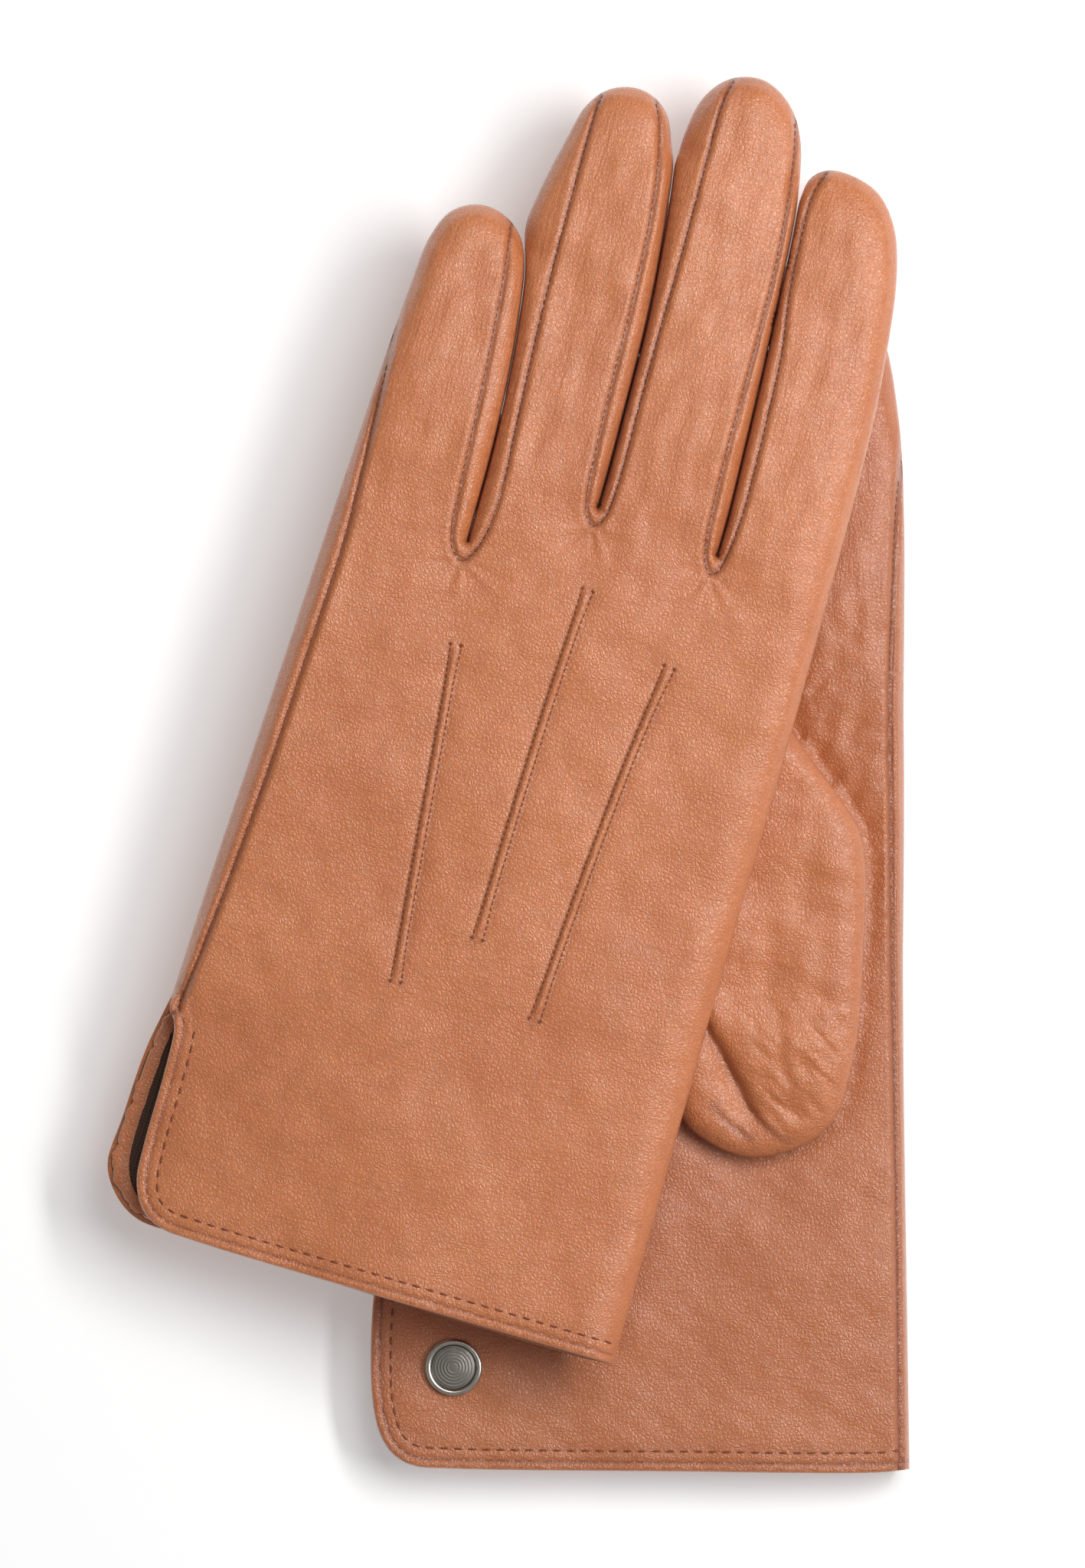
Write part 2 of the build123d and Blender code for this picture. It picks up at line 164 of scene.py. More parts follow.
THUMB_CREASES = (
    ((-45.0, 99.0), (-42.5, 92.5), (-40.0, 87.5), (-36.3, 81.2), (-33.1, 74.8), (-30.6, 70.4), (-27.4, 67.3),
     (-24.4, 65.2)),
    ((-38.5, 72.0), (-35.0, 68.0), (-31.0, 65.6)),
    ((-27.5, 74.5), (-23.5, 70.8), (-19.0, 68.6)),
    ((-21.0, 82.0), (-17.0, 77.5), (-13.5, 75.0)),
    ((-20.0, 88.0), (-15.5, 83.5), (-12.0, 81.5)),
)
CREASE_DEPTHS = (2.4, 0.5, 0.4, 0.32, 0.28)
THUMB_ROOT = (-29.0, 82.0)
# Where creases run out from the top of the thumb, on the palm.
THUMB_FOLD = (-15.0, 140.0)

FACING_DEEP = 3.3
LINING_INSET = 2.0
LOWER_GLOVE_PAINTED_SHADE = 0.27  # painted shade: the glove underneath is painted a little darker all over
LIES_FLAT = 0.5  # how far the side on the table stands below its panel
SEAM_PITCH = 1.5
TUCK_PITCH = 1.25
HEM_PITCH = 2.75


# ---------------------------------------------------------------------------
# Paths and noise


def evenly(path, step):
    """A path's points spaced evenly, about a step apart, with its two ends kept."""
    path = np.asarray(path, float)
    runs = np.hypot(*np.diff(path, axis=0).T)
    at = np.concatenate([[0.0], np.cumsum(runs)])
    count = max(2, int(round(at[-1] / step)) + 1)
    want = np.linspace(0.0, at[-1], count)
    return np.column_stack([np.interp(want, at, path[:, i]) for i in range(path.shape[1])])


def curve_through(points, step, closed=False):
    """A smooth curve through points, sampled evenly."""
    pts = np.asarray(points, float)
    if closed:
        pts = np.vstack([pts[-2:], pts, pts[:3]])
    chord = np.sqrt(np.hypot(*np.diff(pts, axis=0).T))
    t = np.concatenate([[0.0], np.cumsum(chord)])
    slope = np.diff(pts, axis=0) / chord[:, None]
    tangent = np.empty_like(pts)
    tangent[0], tangent[-1] = slope[0], slope[-1]
    before, after = chord[:-1, None], chord[1:, None]
    tangent[1:-1] = (slope[1:] * before + slope[:-1] * after) / (before + after)
    out = []
    for i in range(len(pts) - 1):
        if closed and not 2 <= i < len(pts) - 3:
            continue
        s = np.linspace(0.0, 1.0, 24, endpoint=False)[:, None]
        width = chord[i]
        out.append(
            (2 * s**3 - 3 * s**2 + 1) * pts[i]
            + (s**3 - 2 * s**2 + s) * width * tangent[i]
            + (3 * s**2 - 2 * s**3) * pts[i + 1]
            + (s**3 - s**2) * width * tangent[i + 1]
        )
    last = pts[2] if closed else pts[-1]
    return evenly(np.vstack([*out, last[None]]), step)


def nearest(points, path):
    """For each point: distance to a path, how far along it, and which side (+1 is left)."""
    best = np.full(len(points), 1e9)
    along = np.zeros(len(points))
    side = np.ones(len(points))
    run = 0.0
    for a, b in zip(path[:-1], path[1:]):
        step = b - a
        length = math.hypot(*step)
        if length < 1e-9:
            continue
        part = np.clip(((points - a) @ step) / length**2, 0.0, 1.0)
        off = points - a - part[:, None] * step
        gap = np.hypot(off[:, 0], off[:, 1])
        closer = gap < best
        best[closer] = gap[closer]
        along[closer] = run + part[closer] * length
        side[closer] = np.where(step[0] * off[closer, 1] - step[1] * off[closer, 0] >= 0, 1.0, -1.0)
        run += length
    return best, along, side


def inside(points, loop):
    """Which points lie inside a closed loop."""
    u, v = points[:, 0], points[:, 1]
    odd = np.zeros(len(points), bool)
    for (u0, v0), (u1, v1) in zip(loop, np.roll(loop, -1, axis=0)):
        if v0 == v1:
            continue
        crosses = (v0 > v) != (v1 > v)
        odd ^= crosses & (u < (u1 - u0) * (v - v0) / (v1 - v0) + u0)
    return odd


def ease(x):
    x = np.clip(x, 0.0, 1.0)
    return x * x * (3.0 - 2.0 * x)


def bump_at(distance, width):
    return np.exp(-((distance / width) ** 2))


def swell(points, length, seed, stretch=1.0, turn=0.0, waves=16):
    """Smooth noise of about unit size; stretch lengthens it along the turned v axis."""
    rng = np.random.default_rng(seed)
    angle = rng.uniform(0, math.tau, waves)
    size = math.tau / (length * rng.uniform(0.65, 1.5, waves))
    phase = rng.uniform(0, math.tau, waves)
    c, s = math.cos(turn), math.sin(turn)
    across = points[:, 0] * c + points[:, 1] * s
    down = (-points[:, 0] * s + points[:, 1] * c) / stretch
    total = np.zeros(len(points))
    for a, k, p in zip(angle, size, phase):
        total += np.cos(k * (math.cos(a) * across + math.sin(a) * down) + p)
    return total / math.sqrt(waves / 2)


# ---------------------------------------------------------------------------
# Where each glove lies, read from the frame


def joint(name):
    return next(j for j in frame["joints"] if j["name"] == name)


class Glove:
    """One glove's place: pattern (u, v) and height to the world, in metres."""

    def __init__(self, name, back_up):
        self.name = name
        self.back_up = back_up
        self.seed = 11 if back_up else 47
        hinge = joint(f"{name}_index_bend")
        self.turn = math.atan2(hinge["axis"][1], hinge["axis"][0])
        self.c, self.s = math.cos(self.turn), math.sin(self.turn)
        panel = "palm_panel" if back_up else "back_panel"
        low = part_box(f"{name}_{panel}")[0]
        self.floor = low[2] / MM
        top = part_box(f"{name}_" + ("back_panel" if back_up else "palm_panel"))[1][2] / MM
        self.middle = (self.floor + top) / 2
        self.half = (top - self.floor) / 2
        at_u, at_v = -13.25, 157.35  # the index hinge, in the pattern
        self.x = hinge["pos_m"][0] / MM - at_u * self.c + at_v * self.s
        self.y = hinge["pos_m"][1] / MM - at_u * self.s - at_v * self.c
        self.thumb_low, self.thumb_high = (end[2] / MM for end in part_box(f"{name}_thumb_lining"))
        self.thumb_middle = (self.thumb_low + self.thumb_high) / 2
        # The upper thumb lies turned and further in, clear of the lower one.
        self.thumb_turn = math.radians(10.0) if back_up else 0.0
        self.thumb_shift = -14.0 if back_up else 0.0

    def sag(self, uv):
        """How far a loose upper glove drops where nothing holds it up."""
        if not self.back_up:
            return np.zeros(len(uv))
        u, v = uv[:, 0], uv[:, 1]
        fingers = 4.6 * ease((v - 168.0) / 85.0)
        cuff = 5.2 * ease((-u - 40.0) / 66.0) * ease((135.0 - v) / 130.0)
        return fingers + cuff + 0.014 * -u

    def shaped(self, uv):
        """The lower glove's index side lies straighter; the upper's cuff corner is squarer."""
        out = uv.copy()
        u, v = uv[:, 0], uv[:, 1]
        if self.back_up:
            corner = np.exp(-(((u + 106.0) / 4.0) ** 2) - ((v - 7.5) / 8.0) ** 2)
            out[:, 0] -= 1.9 * corner
            out[:, 1] += 0.8 * corner
        else:
            along = (100.0, 150.0, 170.0, 190.0, 205.0, 225.0)
            straight = np.interp(v, along, (0.0, 0.8, 1.5, 2.3, 3.2, 3.5))
            out[:, 0] += straight * np.exp(u / 22.0)
        return out

    def place(self, uv, height):
        """World positions of pattern points at a height in millimetres."""
        flat = self.shaped(uv)
        x = self.x + flat[:, 0] * self.c - flat[:, 1] * self.s
        y = self.y + flat[:, 0] * self.s + flat[:, 1] * self.c
        return np.column_stack([x, y, height - self.sag(uv)]) * MM

    def thumb_uv(self, uv):
        c, s = math.cos(self.thumb_turn), math.sin(self.thumb_turn)
        du, dv = uv[:, 0] - THUMB_ROOT[0], uv[:, 1] - THUMB_ROOT[1]
        return np.column_stack(
            [
                THUMB_ROOT[0] + du * c - dv * s + self.thumb_shift,
                THUMB_ROOT[1] + du * s + dv * c,
            ]
        )


GLOVES = (Glove("right", False), Glove("left", True))


# ---------------------------------------------------------------------------
# The relief of each side: how far it stands out from the glove's middle

EDGE_STEP = 1.15
EDGE_PARTS = [curve_through(part, EDGE_STEP) for part in EDGE_STRETCHES]
for number, line in enumerate(CLEFT_LINES):
    # Fingers lie snugly side by side, a hair apart, up to where their tips part.
    slit = curve_through(line[1:-1], 0.8)
    for part, way in ((EDGE_PARTS[number], 1.0), (EDGE_PARTS[number + 1], -1.0)):
        at_u = np.interp(part[:, 1], slit[:, 1], slit[:, 0])
        snug = np.abs(part[:, 0] - at_u) < 1.0
        snug &= (part[:, 1] > slit[0, 1]) & (part[:, 1] < slit[-1, 1] + 0.5)
        pull = ease((slit[-1, 1] - part[:, 1]) / 5.0) * snug
        gap = 0.07 * ease((part[:, 1] - slit[0, 1]) / 5.0)
        part[:, 0] += pull * (at_u + way * gap - part[:, 0])
EDGE = np.vstack([EDGE_PARTS[0], *[part[1:] for part in EDGE_PARTS[1:]]])
HEMS = {"back": curve_through(BACK_HEM, EDGE_STEP), "palm": curve_through(PALM_HEM, EDGE_STEP)}
CLEFTS = [curve_through(path, 1.0) for path in CLEFT_SEAMS]
SIDE_SEAMS = {"back": curve_through(OUTSEAM, 1.0), "palm": curve_through(RADIAL_SEAM, 1.0)}
TUCK_PATHS = [curve_through(path, 1.0) for path in TUCKS]
CREASE_PATHS = [curve_through(path, 1.0) for path in THUMB_CREASES]
THUMB_LOOP = curve_through(THUMB_EDGE, 1.1, closed=True)[:-1]
CLEFT_ENDS = [np.array(path[np.argmin(path[:, 1])]) for path in CLEFTS]
SLIT_MIDDLES = [
    np.vstack([line[0], curve_through(line[1:-1], 0.8), line[-1]]) for line in CLEFT_LINES
]
# Where fingers lie against each other, and the outline that is left when they do.
SLITS = [line[1:-1] for line in SLIT_MIDDLES]
OUTLINE = np.vstack(
    [
        EDGE_PARTS[0][EDGE_PARTS[0][:, 0] > -29.4][: int(len(EDGE_PARTS[0]) * 0.76)],
        EDGE_PARTS[1][EDGE_PARTS[1][:, 1] > 232.5],
        EDGE_PARTS[2][(EDGE_PARTS[2][:, 1] > 232.0) | (EDGE_PARTS[2][:, 0] < -78.2)],
        EDGE_PARTS[3][(EDGE_PARTS[3][:, 0] < -79.6)],
    ]
)
KNUCKLES = {
    name: 157.35 if name == "index" else 147.35 if name == "little" else 160.35
    for name in FINGER_NAMES
}


def rounded(x, power=2.3):
    return (1.0 - (1.0 - np.clip(x, 0.0, 1.0)) ** power) ** (1.0 / power)


def wrinkles(uv, length, seed, stretch, turn, width=0.3):
    """Fine folds: valleys wherever a stretched noise passes through nought."""
    return -np.exp(-((swell(uv, length, seed, stretch, turn) / width) ** 2))


def pucker(uv, centre, seed):
    """Creases that fan out from the foot of a cleft."""
    off = uv - centre
    far = np.hypot(off[:, 0], off[:, 1])
    angle = np.arctan2(off[:, 0], -off[:, 1])
    rng = np.random.default_rng(seed)
    fan = np.cos(angle * 7.0 + rng.uniform(0, 6)) + 0.7 * np.cos(angle * 12.0 + rng.uniform(0, 6))
    reach = ease((far - 0.8) / 1.6) * np.exp(-far / 4.2) * ease((1.9 - np.abs(angle)) / 0.7)
    return 0.3 * fan * reach


def relief(uv, side, glove):
    """Height above the middle plane of one side's outer face, in millimetres."""
    v = uv[:, 1]
    edge, _, _ = nearest(uv, EDGE)
    finger = ease((v - 140.0) / 30.0)
    half = glove.half + 0.35 * finger
    slit = np.full(len(uv), 1e3)
    for line in SLITS:
        slit = np.minimum(slit, np.maximum(nearest(uv, line)[0] - 0.15, 0.0))
    outline = nearest(uv, OUTLINE)[0]
    fold = 8.5 * ease((uv[:, 0] + 40.0) / 30.0) if glove.back_up else 0.0
    body = half * rounded(outline / (6.5 + 2.5 * finger + 0.4 * fold))
    body *= rounded(edge / 2.2, 2.8)
    body -= 0.7 * finger * np.exp(-((slit / 3.2) ** 2)) * rounded(edge / 1.2)
    keep = 1.0 - np.exp(-edge / 2.2)
    seed = glove.seed + (0 if side == "back" else 5)
    body += keep * (
        0.28 * swell(uv, 42.0, seed) + 0.11 * swell(uv, 15.0, seed + 1) + 0.05 * swell(uv, 6.0, seed + 2)
    )
    body += keep * finger * 0.09 * swell(uv, 4.2, seed + 3, stretch=4.0)
    for path in CLEFTS:
        gap, _, _ = nearest(uv, path)
        body += 0.2 * bump_at(gap - 1.1, 0.6) - 0.55 * bump_at(gap, 0.42)
    for end, number in zip(CLEFT_ENDS, range(3)):
        body += pucker(uv, end, seed + number)
        far = np.hypot(*(uv - end).T)
        body -= 0.7 * bump_at(far, 5.5)
    gap, _, _ = nearest(uv, SIDE_SEAMS[side])
    body += 0.3 * bump_at(gap - 1.25, 0.55) - 0.7 * bump_at(gap, 0.5)
    if side == "back":
        for path in TUCK_PATHS:
            gap, along, _ = nearest(uv, path)
            length = np.hypot(*np.diff(path, axis=0).T).sum()
            ends = ease(along / 2.0) * ease((length - along) / 2.0)
            body += ends * (0.62 * bump_at(gap, 0.55) - 0.34 * bump_at(gap - 1.05, 0.45))
    elif not glove.back_up:
        off = uv - np.array(THUMB_FOLD)
        far = np.hypot(off[:, 0], off[:, 1])
        fade = np.exp(-far / 24.0) * ease(edge / 3.0)
        body += 0.22 * fade * swell(uv, 3.6, seed + 9, stretch=3.5, turn=-0.75)
        body += 0.42 * fade * wrinkles(uv, 7.0, seed + 10, 2.4, -0.8, 0.24)
        pressed, _, _ = nearest(uv, np.vstack([THUMB_LOOP, THUMB_LOOP[:1]]))
        outside = ~inside(uv, THUMB_LOOP)
        body -= 0.95 * np.where(outside, np.exp(-((pressed / 14.0) ** 2)), 1.0) * rounded(edge / 5.0)
        upper = ease((v - 100.0) / 30.0)
        body -= np.where(outside, (0.55 + 0.9 * upper) * bump_at(pressed, 2.2 + 1.6 * upper), 0.0)
    hem, _, _ = nearest(uv, HEMS[side])
    away = ease((edge - 0.2) / 1.2)
    body -= away * 0.75 * (1.0 - np.sqrt(1.0 - (1.0 - np.clip(hem / 0.85, 0.0, 1.0)) ** 2))
    body += away * (0.22 * bump_at(hem - 0.9, 0.55) - 0.48 * bump_at(hem - 1.75, 0.3))
    body -= away * 0.14 * bump_at(hem - 4.0, 0.55)
    vent = ease((48.0 - v) / 20.0) * ease((-uv[:, 0] - 82.0) / 20.0)
    if glove.back_up:
        body -= keep * vent * 1.3
    elif side == "back":
        body = np.minimum(body, glove.half + LIES_FLAT)
    return np.maximum(body, 0.0)


def thumb_relief(uv, outer, glove, loop, inset):
    """The same for the folded thumb; its foot sinks into the palm."""
    edge, _, _ = nearest(uv, np.vstack([loop, loop[:1]]))
    half = (glove.thumb_high - glove.thumb_low) / 2 + 0.75 - inset
    body = half * rounded(edge / 6.5, 2.5)
    keep = 1.0 - np.exp(-edge / 1.8)
    if outer:
        body += keep * (0.3 * swell(uv, 26.0, glove.seed + 21) + 0.1 * swell(uv, 8.0, glove.seed + 22))
        near = bump_at(np.hypot(uv[:, 0] + 20.0, uv[:, 1] - 78.0), 15.0)
        body += keep * near * 0.16 * swell(uv, 3.0, glove.seed + 23, stretch=3.6, turn=0.75)
        body += keep * (0.1 + 0.3 * near) * wrinkles(uv, 6.0, glove.seed + 24, 2.6, 0.7, 0.24)
        for number, (path, deep) in enumerate(zip(CREASE_PATHS, CREASE_DEPTHS)):
            gap, along, side = nearest(uv, path)
            length = np.hypot(*np.diff(path, axis=0).T).sum()
            if number == 0:  # a deep fold: its right lobe rolls over, its left lobe slopes away
                ends = ease(along / 6.0) * ease((length - along) / 13.0)
                wide = np.where(side > 0, 1.25, 3.4)
                body -= keep * ends * deep * np.exp(-((gap / wide) ** 1.35))
            else:
                ends = ease(along / 3.5) * ease((length - along) / 3.5)
                body -= keep * ends * deep * bump_at(gap, 0.8)
    return np.maximum(body, 0.0)


# ---------------------------------------------------------------------------
# Filling a pattern with triangles


class Spread:
    """Points that keep their distance from each other."""

    def __init__(self):
        self.points = []
        self.cells = {}

    def add(self, point, apart):
        size = 2.0
        cu, cv = int(point[0] // size), int(point[1] // size)
        if apart > 0:
            for du in (-1, 0, 1):
                for dv in (-1, 0, 1):
                    for other in self.cells.get((cu + du, cv + dv), ()):
                        if (other[0] - point[0]) ** 2 + (other[1] - point[1]) ** 2 < apart**2:
                            return None
        self.points.append((float(point[0]), float(point[1])))
        self.cells.setdefault((cu, cv), []).append(self.points[-1])
        return len(self.points) - 1


def side_steps(path, offset):
    """A path moved sideways, to its left for a positive offset."""
    run = np.gradient(path, axis=0)
    run /= np.hypot(run[:, 0], run[:, 1])[:, None]
    return path + offset * np.column_stack([-run[:, 1], run[:, 0]])


def fill(loop, chains, rows, spacing, insets):
    """Triangles inside a loop. Chains become edges; rows are paths with closer points."""
    spread = Spread()
    corners = [spread.add(p, 0.0) for p in loop]
    edges = []
    for chain in chains:
        ids = [spread.add(p, 0.0) for p in chain]
        edges += list(zip(ids[:-1], ids[1:]))
    shut = np.vstack([loop, loop[:1]])
    candidates = []
    for inset in insets:
        ring = side_steps(shut, inset)[:-1]
        gap, _, _ = nearest(ring, shut)
        for p in ring[gap > inset * 0.93]:
            candidates.append((p, min(0.75 * spacing, max(0.1, inset * 0.6))))
    for path, offsets in rows:
        for offset in offsets:
            for p in side_steps(path, offset):
                candidates.append((p, 0.36))
    low, high = loop.min(axis=0), loop.max(axis=0)
    tall = spacing * math.sqrt(3) / 2
    for j in range(int((high[1] - low[1]) / tall) + 1):
        for i in range(int((high[0] - low[0]) / spacing) + 2):
            candidates.append(
                (np.array([low[0] + (i + 0.5 * (j % 2)) * spacing, low[1] + j * tall]), 0.72 * spacing)
            )
    pts = np.array([c[0] for c in candidates])
    ok = inside(pts, loop)
    gap, _, _ = nearest(pts, shut)
    for (p, apart), good, room in zip(candidates, ok, gap):
        if good and room > 0.09:
            spread.add(p, apart)
    verts = [Vector(p) for p in spread.points]
    out = geometry.delaunay_2d_cdt(verts, edges, [corners], 0, 1e-5)
    flat = np.array([(p[0], p[1]) for p in out[0]])
    tris = np.array([f for f in out[2] if len(f) == 3])
    a, b, c = (flat[tris[:, i]] for i in range(3))
    area = (b[:, 0] - a[:, 0]) * (c[:, 1] - a[:, 1]) - (b[:, 1] - a[:, 1]) * (c[:, 0] - a[:, 0])
    tris[area < 0] = tris[area < 0][:, ::-1]
    keep = inside((a + b + c) / 3, loop) & (np.abs(area) > 1e-7)
    return flat, tris[keep]


def knuckle_chains():
    """A cut across each finger, where its own leather begins."""
    widths = ((3.0, -25.0), (-25.6, -50.1), (-50.7, -72.3), (-73.2, -104.0))
    return [
        evenly([(start, KNUCKLES[name]), (end, KNUCKLES[name])], 1.2)
        for name, (start, end) in zip(FINGER_NAMES, widths)
    ]


class Skin:
    """Both sides of the pattern as one mesh, with every triangle's piece known."""

    def __init__(self, fine):
        self.parts = {}
        spacing = 1.4 if fine else 4.0
        insets = (0.13, 0.45, 1.0, 1.8, 2.8) if fine else (0.4, 1.6)
        seam_rows = (-1.6, -1.0, -0.5, 0.5, 1.0, 1.6)
        for side in ("back", "palm"):
            hem = HEMS[side]
            loop = np.vstack([EDGE, hem[1:-1]])
            chains = [*CLEFTS, SIDE_SEAMS[side], *knuckle_chains()]
            folded = side_steps(hem, FACING_DEEP)
            clear = nearest(folded, hem)[0] > FACING_DEEP * 0.97
            chains.append(folded[clear & (nearest(folded, EDGE)[0] > 0.8)])
            rows = []
            if fine:
                rows += [(path, seam_rows) for path in CLEFTS]
                rows.append((SIDE_SEAMS[side], seam_rows))
                rows += [(hem, (1.35, 1.55, 1.75, 1.95, 2.2, 4.0))]
                for end in CLEFT_ENDS:
                    for far in np.arange(1.2, 11.0, 0.75):
                        bow = np.linspace(-2.0, 2.0, int(far * 5) + 4)
                        arc = end + far * np.column_stack([np.sin(bow), -np.cos(bow)])
                        rows.append((arc, (0.0,)))
                if side == "back":
                    tucks = (-1.5, -1.05, -0.6, -0.28, 0.0, 0.28, 0.6, 1.05, 1.5)
                    rows += [(path, tucks) for path in TUCK_PATHS]
            else:
                chains = chains[-5:]
            self.parts[side] = fill(loop, chains, rows, spacing, insets)
        self.join()

    def join(self):
        """Join the two sides along the edge that they share."""
        (back, back_tris), (palm, palm_tris) = self.parts["back"], self.parts["palm"]
        on_edge = nearest(back, EDGE)[0] < 1e-3
        keys = {(round(u, 3), round(v, 3)): i for i, (u, v) in enumerate(back) if on_edge[i]}
        index = np.empty(len(palm), int)
        extra = []
        for i, (u, v) in enumerate(palm):
            known = keys.get((round(u, 3), round(v, 3)))
            if known is None:
                known = len(back) + len(extra)
                extra.append(i)
            index[i] = known
        self.uv = np.vstack([back, palm[extra]])
        self.is_palm = np.zeros(len(self.uv), bool)
        self.is_palm[len(back):] = True
        self.tris = np.vstack([back_tris, index[palm_tris]])
        self.tri_palm = np.zeros(len(self.tris), bool)
        self.tri_palm[len(back_tris):] = True
        self.middle = self.uv[self.tris].mean(axis=1)
        self.name_triangles()

    def name_triangles(self):
        mid = self.middle
        hems = (nearest(self.uv, HEMS["palm"])[0], nearest(self.uv, HEMS["back"])[0])
        self.hem = np.where(self.is_palm, *hems)
        edge_of = (nearest(mid, HEMS["palm"])[0], nearest(mid, HEMS["back"])[0])
        self.faced = np.where(self.tri_palm, *edge_of) < FACING_DEEP
        names = np.full(len(mid), "hand", dtype="U12")
        sides = [mid[:, 0] < np.interp(mid[:, 1], line[:, 1], line[:, 0]) for line in SLIT_MIDDLES]
        number = sum(side.astype(int) for side in sides)
        for i, finger in enumerate(FINGER_NAMES):
            names[(number == i) & (mid[:, 1] > KNUCKLES[finger])] = finger
        self.finger = names
        self.strip = np.full(len(mid), "", dtype="U24")
        for i, path in enumerate(CLEFTS):
            in_cleft = inside(mid, path)
            right_of = in_cleft & (number == i)
            left_of = in_cleft & (number == i + 1)
            self.strip[right_of] = FINGER_NAMES[i] + " little_side"
            self.strip[left_of] = FINGER_NAMES[i + 1] + " index_side"
        _, _, left_out = nearest(mid, SIDE_SEAMS["back"])
        _, _, left_rad = nearest(mid, SIDE_SEAMS["palm"])
        far_out = (left_out > 0) & (mid[:, 0] < -90.0) & (mid[:, 1] > 40.0) & ~self.tri_palm
        far_rad = (left_rad < 0) & (mid[:, 0] > -8.0) & (mid[:, 1] < 206.0) & self.tri_palm
        # Leather of the back goes round the index side; the palm's goes round the other.
        self.cover = np.where(self.tri_palm ^ far_out ^ far_rad, "palm", "back")

    def shape(self, glove):
        """World positions and outward normals for one glove."""
        height = np.empty(len(self.uv))
        for side, rows in (("back", ~self.is_palm), ("palm", self.is_palm)):
            height[rows] = relief(self.uv[rows], side, glove)
        up = self.is_palm != glove.back_up
        points = glove.place(self.uv, glove.middle + np.where(up, height, -height))
        tri_up = self.tri_palm != glove.back_up
        tris = self.tris.copy()
        tris[~tri_up] = tris[~tri_up][:, ::-1]
        rest = np.column_stack([self.uv, np.where(self.is_palm, -height, height)])
        return points, tris, normals_of(points, tris), rest


def normals_of(points, tris):
    a, b, c = (points[tris[:, i]] for i in range(3))
    cross = np.cross(b - a, c - a)
    total = np.zeros_like(points)
    for i in range(3):
        np.add.at(total, tris[:, i], cross)
    size = np.linalg.norm(total, axis=1)
    size[size < 1e-15] = 1.0
    return total / size[:, None]


# ---------------------------------------------------------------------------
# Meshes


def new_object(name, mesh):
    obj = bpy.data.objects.new(name, mesh)
    bpy.context.scene.collection.objects.link(obj)
    return obj


def shell(name, points, normals, tris, rest, near, far, material, wear=None):
    """A sheet with thickness: its outer face at near below the surface, its inner at far."""
    used, local = np.unique(tris, return_inverse=True)
    local = local.reshape(tris.shape)
    p, n, r = points[used], normals[used], rest[used]
    near = np.broadcast_to(near, len(points))[used][:, None] * MM
    far = np.broadcast_to(far, len(points))[used][:, None] * MM
    count = len(used)
    verts = np.vstack([p - n * near, p - n * far])
    pairs = np.vstack([local[:, [0, 1]], local[:, [1, 2]], local[:, [2, 0]]])
    keys = {}
    for a, b in pairs:
        keys[(a, b)] = True
    rim = [(a, b) for (a, b) in keys if (b, a) not in keys]
    faces = [tuple(t) for t in local.tolist()]
    faces += [tuple(t) for t in (local[:, ::-1] + count).tolist()]
    faces += [(int(b), int(a), int(a) + count, int(b) + count) for a, b in rim]
    mesh = bpy.data.meshes.new(name)
    mesh.from_pydata(verts.tolist(), [], faces)
    mesh.polygons.foreach_set("use_smooth", np.ones(len(faces), bool))
    flat = n[local].reshape(-1, 3)
    inner = -normals_of(verts[count:], local)[local[:, ::-1]].reshape(-1, 3)
    rims = []
    for a, b in rim:
        along = verts[b] - verts[a]
        out = np.cross(along, n[a])
        size = np.linalg.norm(out)
        out = out / size if size > 0 else n[a]
        rims += [out] * 4
    loops = np.vstack([flat, inner] + ([np.array(rims)] if rims else []))
    mesh.normals_split_custom_set(loops.tolist())
    place = mesh.attributes.new("pattern", "FLOAT_VECTOR", "POINT")
    place.data.foreach_set("vector", np.vstack([r, r]).astype(np.float32).ravel())
    # Painted darkening, kept as an attribute: dark seam lines and painted shade.
    if wear is None:
        wear = np.zeros(len(points))
    shade = mesh.attributes.new("wear", "FLOAT", "POINT")
    shade.data.foreach_set("value", np.tile(wear[used], 2).astype(np.float32))
    mesh.materials.append(material)
    mesh.update()
    return new_object(name, mesh)


def attach(piece, body, node_names):
    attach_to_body(piece, body)
    if node_names:
        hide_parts(*node_names)


def attach_finger(piece, nodes):
    if nodes:
        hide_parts(*nodes)
    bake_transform(piece)


# ---------------------------------------------------------------------------
# Materials


